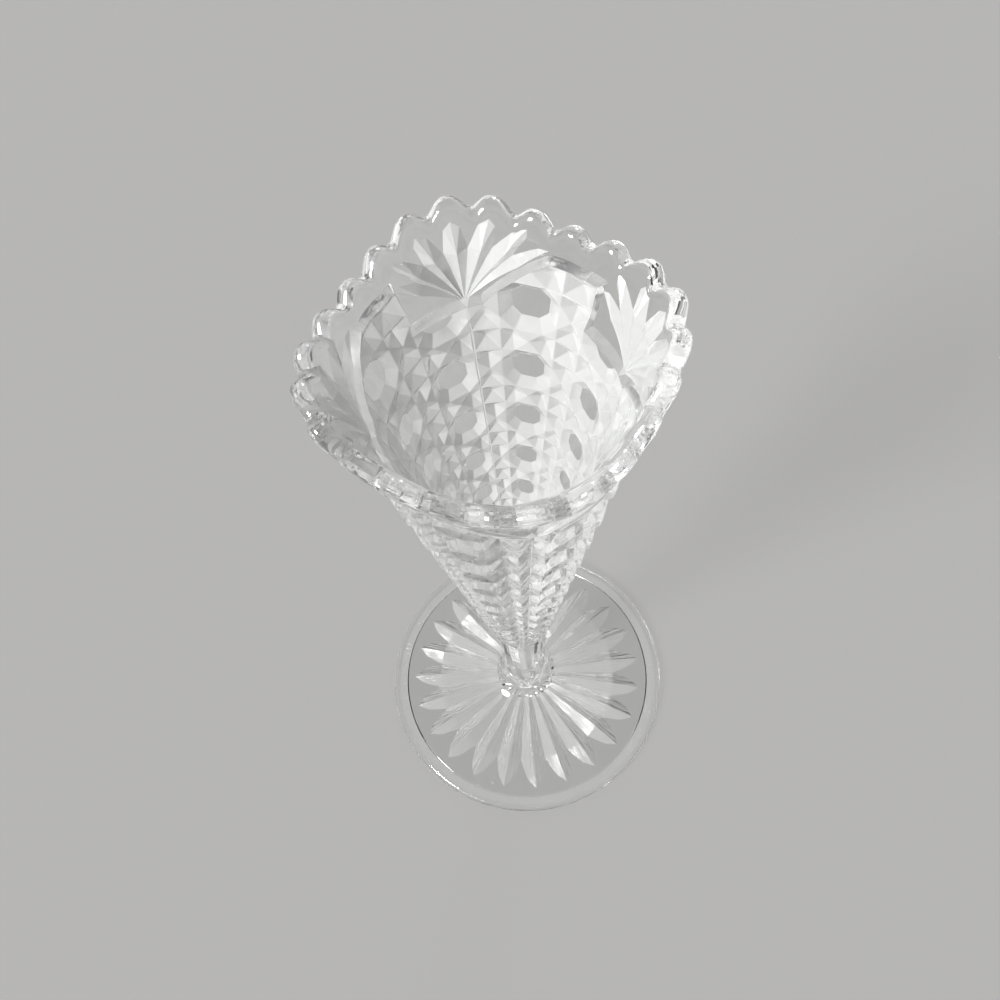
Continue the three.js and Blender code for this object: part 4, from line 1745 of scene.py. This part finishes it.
    def _edge_and_dome(self) -> np.ndarray:
        """Rings round the edge and over the dome to the stem.

        The edge is a quarter of one ellipse below its widest place and of another above it. The
        dome climbs inwards by a steady slope, plus a term that grows as a power of one over the
        radius and sweeps up into the stem.

        Returns:
            Array of rings by columns by 3.
        """
        angle = column_angles()
        turn = np.linspace(-math.pi / 2, math.pi / 2, self.edge_rings)[:, None]
        width = np.where(turn < 0, self.lower_round, self.upper_round)
        rise = np.where(turn < 0, self.widest_height, self.edge_height - self.widest_height)
        edge_radius = self.outer_radius - width * (1 - np.cos(turn))
        edge = polar(edge_radius, angle, self.widest_height + rise * np.sin(turn))
        start = self.outer_radius - self.upper_round
        radius = np.geomspace(start, self.joint_radius, self.dome_rings)[1:, None]
        steady = self.dome_slope * (start - radius)
        whole = self.dome_slope * (start - self.joint_radius)
        sweep = (self.joint_radius / radius) ** self.dome_fall
        least = (self.joint_radius / start) ** self.dome_fall
        climb = (self.top - self.edge_height - whole) * (sweep - least) / (1 - least)
        dome = polar(radius, angle, self.edge_height + steady + climb)
        return np.concatenate([edge, dome])


@dataclass(frozen=True)
class PhotoCamera:
    """The photograph's camera, in the frame of the part.

    Attributes:
        place: Where it stands, in metres.
        below_horizon: Angle by which it looks down, in degrees.
        yaw: Angle by which it looks to the right of +Y, in degrees.
        roll: Angle by which it is turned about its line of sight, in degrees.
        lens: Focal length, in millimetres.
        sensor: Width of the sensor, in millimetres.
        clip: Nearest and farthest distance that it shows, in metres.
    """

    place: tuple[float, float, float] = (-0.0142, -0.0852, 0.2800)
    below_horizon: float = 62.78
    yaw: float = 8.5
    roll: float = -6.96
    lens: float = 36.0
    sensor: float = 36.0
    clip: tuple[float, float] = (0.01, 60.0)

    def build(self) -> None:
        """Makes the camera and makes it the scene's own."""
        down, turn, roll = (math.radians(a) for a in (self.below_horizon, self.yaw, self.roll))
        level = math.cos(down)
        ahead = Vector((math.sin(turn) * level, math.cos(turn) * level, -math.sin(down)))
        side = Vector((math.cos(turn), -math.sin(turn), 0))
        above = side.cross(ahead)
        right = math.cos(roll) * side + math.sin(roll) * above
        up = -math.sin(roll) * side + math.cos(roll) * above
        axes = Matrix((right, up, -ahead)).transposed().to_4x4()
        data = bpy.data.cameras.new("photo_camera")
        data.lens = self.lens
        data.sensor_width = self.sensor
        data.clip_start, data.clip_end = self.clip
        camera = bpy.data.objects.new("photo_camera", data)
        camera.matrix_world = Matrix.Translation(self.place) @ axes
        bpy.context.scene.collection.objects.link(camera)
        bpy.context.scene.camera = camera


@dataclass(frozen=True)
class SoftLamp:
    """One large soft studio lamp, so far off that it lights the floor evenly.

    Attributes:
        name: Name of the lamp.
        place: Direction in which it stands, from the vase.
        strength: Light that it throws on a card held square to it, in watts per square metre.
        spread: Angle across its face.
    """

    name: str
    place: tuple[float, float, float]
    strength: float
    spread: float = math.radians(17)

    def build(self) -> None:
        """Makes the lamp and points it at the vase."""
        data = bpy.data.lights.new(self.name, "SUN")
        data.energy = self.strength
        data.angle = self.spread
        lamp = bpy.data.objects.new(self.name, data)
        lamp.location = self.place
        lamp.rotation_euler = (-Vector(self.place)).to_track_quat("-Z", "Y").to_euler()
        bpy.context.scene.collection.objects.link(lamp)


@dataclass(frozen=True)
class Studio:
    """Pale floor, soft lamps and a pale horizon under a darker ceiling.

    Attributes:
        floor_half: Half the width of the floor, in metres.
        floor_colour: Colour of the floor.
        floor_roughness: Roughness of the floor.
        floor_gloss: Specular level of the floor.
        sky: Brightness of what stands round the vase, as pairs of upward share and level.
        ambient: Brightness of the soft light that comes from all round.
        lamps: The lamps.
    """

    floor_half: float = 30.0
    floor_colour: tuple[float, float, float] = (0.5, 0.497, 0.487)
    floor_roughness: float = 0.85
    floor_gloss: float = 0.2
    sky: tuple[tuple[float, float], ...] = ((0.0, 0.75), (0.2, 1.0), (0.6, 1.0), (0.86, 0.06))
    ambient: float = 0.06
    lamps: tuple[SoftLamp, ...] = (
        SoftLamp("key_lamp", (-1.0, -0.4, 0.79), 4.0),
        SoftLamp("back_lamp", (0.5, 1.0, 0.8), 0.6),
    )

    def build(self) -> None:
        """Makes the floor, the lamps and the world, and sets the plain view."""
        self._floor()
        self._world()
        for lamp in self.lamps:
            lamp.build()
        bpy.context.scene.view_settings.view_transform = "Standard"

    def _floor(self) -> None:
        """A flat floor of plain pale card."""
        half = self.floor_half
        mesh = bpy.data.meshes.new("floor")
        corners = [(-half, -half, 0), (half, -half, 0), (half, half, 0), (-half, half, 0)]
        mesh.from_pydata(corners, [], [(0, 1, 2, 3)])
        floor = bpy.data.objects.new("floor", mesh)
        bpy.context.scene.collection.objects.link(floor)
        card = bpy.data.materials.new("pale_card")
        wiring = Wiring.of(card)
        wiring.feed(wiring.tree.nodes["Principled BSDF"], {
            "Base Color": (*self.floor_colour, 1.0),
            "Roughness": self.floor_roughness,
            "Specular IOR Level": self.floor_gloss,
        })
        mesh.materials.append(card)

    def _world(self) -> None:
        """World light: what is seen, mirrored or seen through glass runs from a pale horizon to a
        darker ceiling, and what lights the object is one soft grey."""
        world = bpy.data.worlds.new("studio")
        bpy.context.scene.world = world
        wiring = Wiring.of(world)
        place = wiring.add("ShaderNodeTexCoord", {}).outputs["Generated"]
        upward = wiring.add("ShaderNodeSeparateXYZ", {"Vector": place}).outputs["Z"]
        ramp = wiring.add("ShaderNodeValToRGB", {"Fac": upward})
        # A new ramp has two stops. The others start just under its end and then move into place.
        for stop in range(2, len(self.sky)):
            ramp.color_ramp.elements.new(1 - 0.01 * stop)
        for element, (height, level) in zip(ramp.color_ramp.elements, self.sky):
            element.position = height
            element.color = (level, level, level, 1)
        shown = wiring.tree.nodes["Background"]
        wiring.feed(shown, {"Color": ramp.outputs["Color"]})
        grey = wiring.add("ShaderNodeBackground", {
            "Color": (1, 1, 1, 1),
            "Strength": self.ambient,
        })
        path = wiring.add("ShaderNodeLightPath", {}).outputs
        seen = wiring.math("MAXIMUM", path["Is Camera Ray"], path["Is Glossy Ray"])
        mix = wiring.add("ShaderNodeMixShader", {
            "Fac": wiring.math("MAXIMUM", seen, path["Is Transmission Ray"]),
            1: grey.outputs["Background"],
            2: shown.outputs["Background"],
        })
        wiring.show(mix.outputs["Shader"], "World Output")


def main() -> None:
    """Loads the frame, reads its sizes, and builds the vase, the camera and the studio."""
    frame: dict[str, Any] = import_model()
    log.info("frame holds %s", ", ".join(sorted(frame["nodes"])))
    foot_low, foot_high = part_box("foot")
    stem_low, stem_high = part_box("stem")
    _, bowl_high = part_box("trumpet_bowl")
    crest = TrumpetShape.scallop_rise + TrumpetShape.corner_rise
    shape = TrumpetShape(stem_high.z, bowl_high.z - crest)
    finishes = make_finishes()
    neck = float(shape.outer_radius(stem_high.z, 0) - shape.groove_depth(stem_high.z))
    bowl = TrumpetBowl(LatticeDrawing(shape, FanShape())).build(finishes)
    stem = Stem(stem_low.z, stem_high.z, neck).build(finishes)
    radius = min(foot_high.x, foot_high.y)
    foot = Foot(radius, foot_high.z, Stem.base_radius).build(finishes)
    for piece in (bowl, stem, foot):
        log.info("made %s", piece.name)
    PhotoCamera().build()
    Studio().build()


if __name__ == "__main__":
    logging.basicConfig(level=logging.INFO, format="%(name)s: %(message)s")
    main()
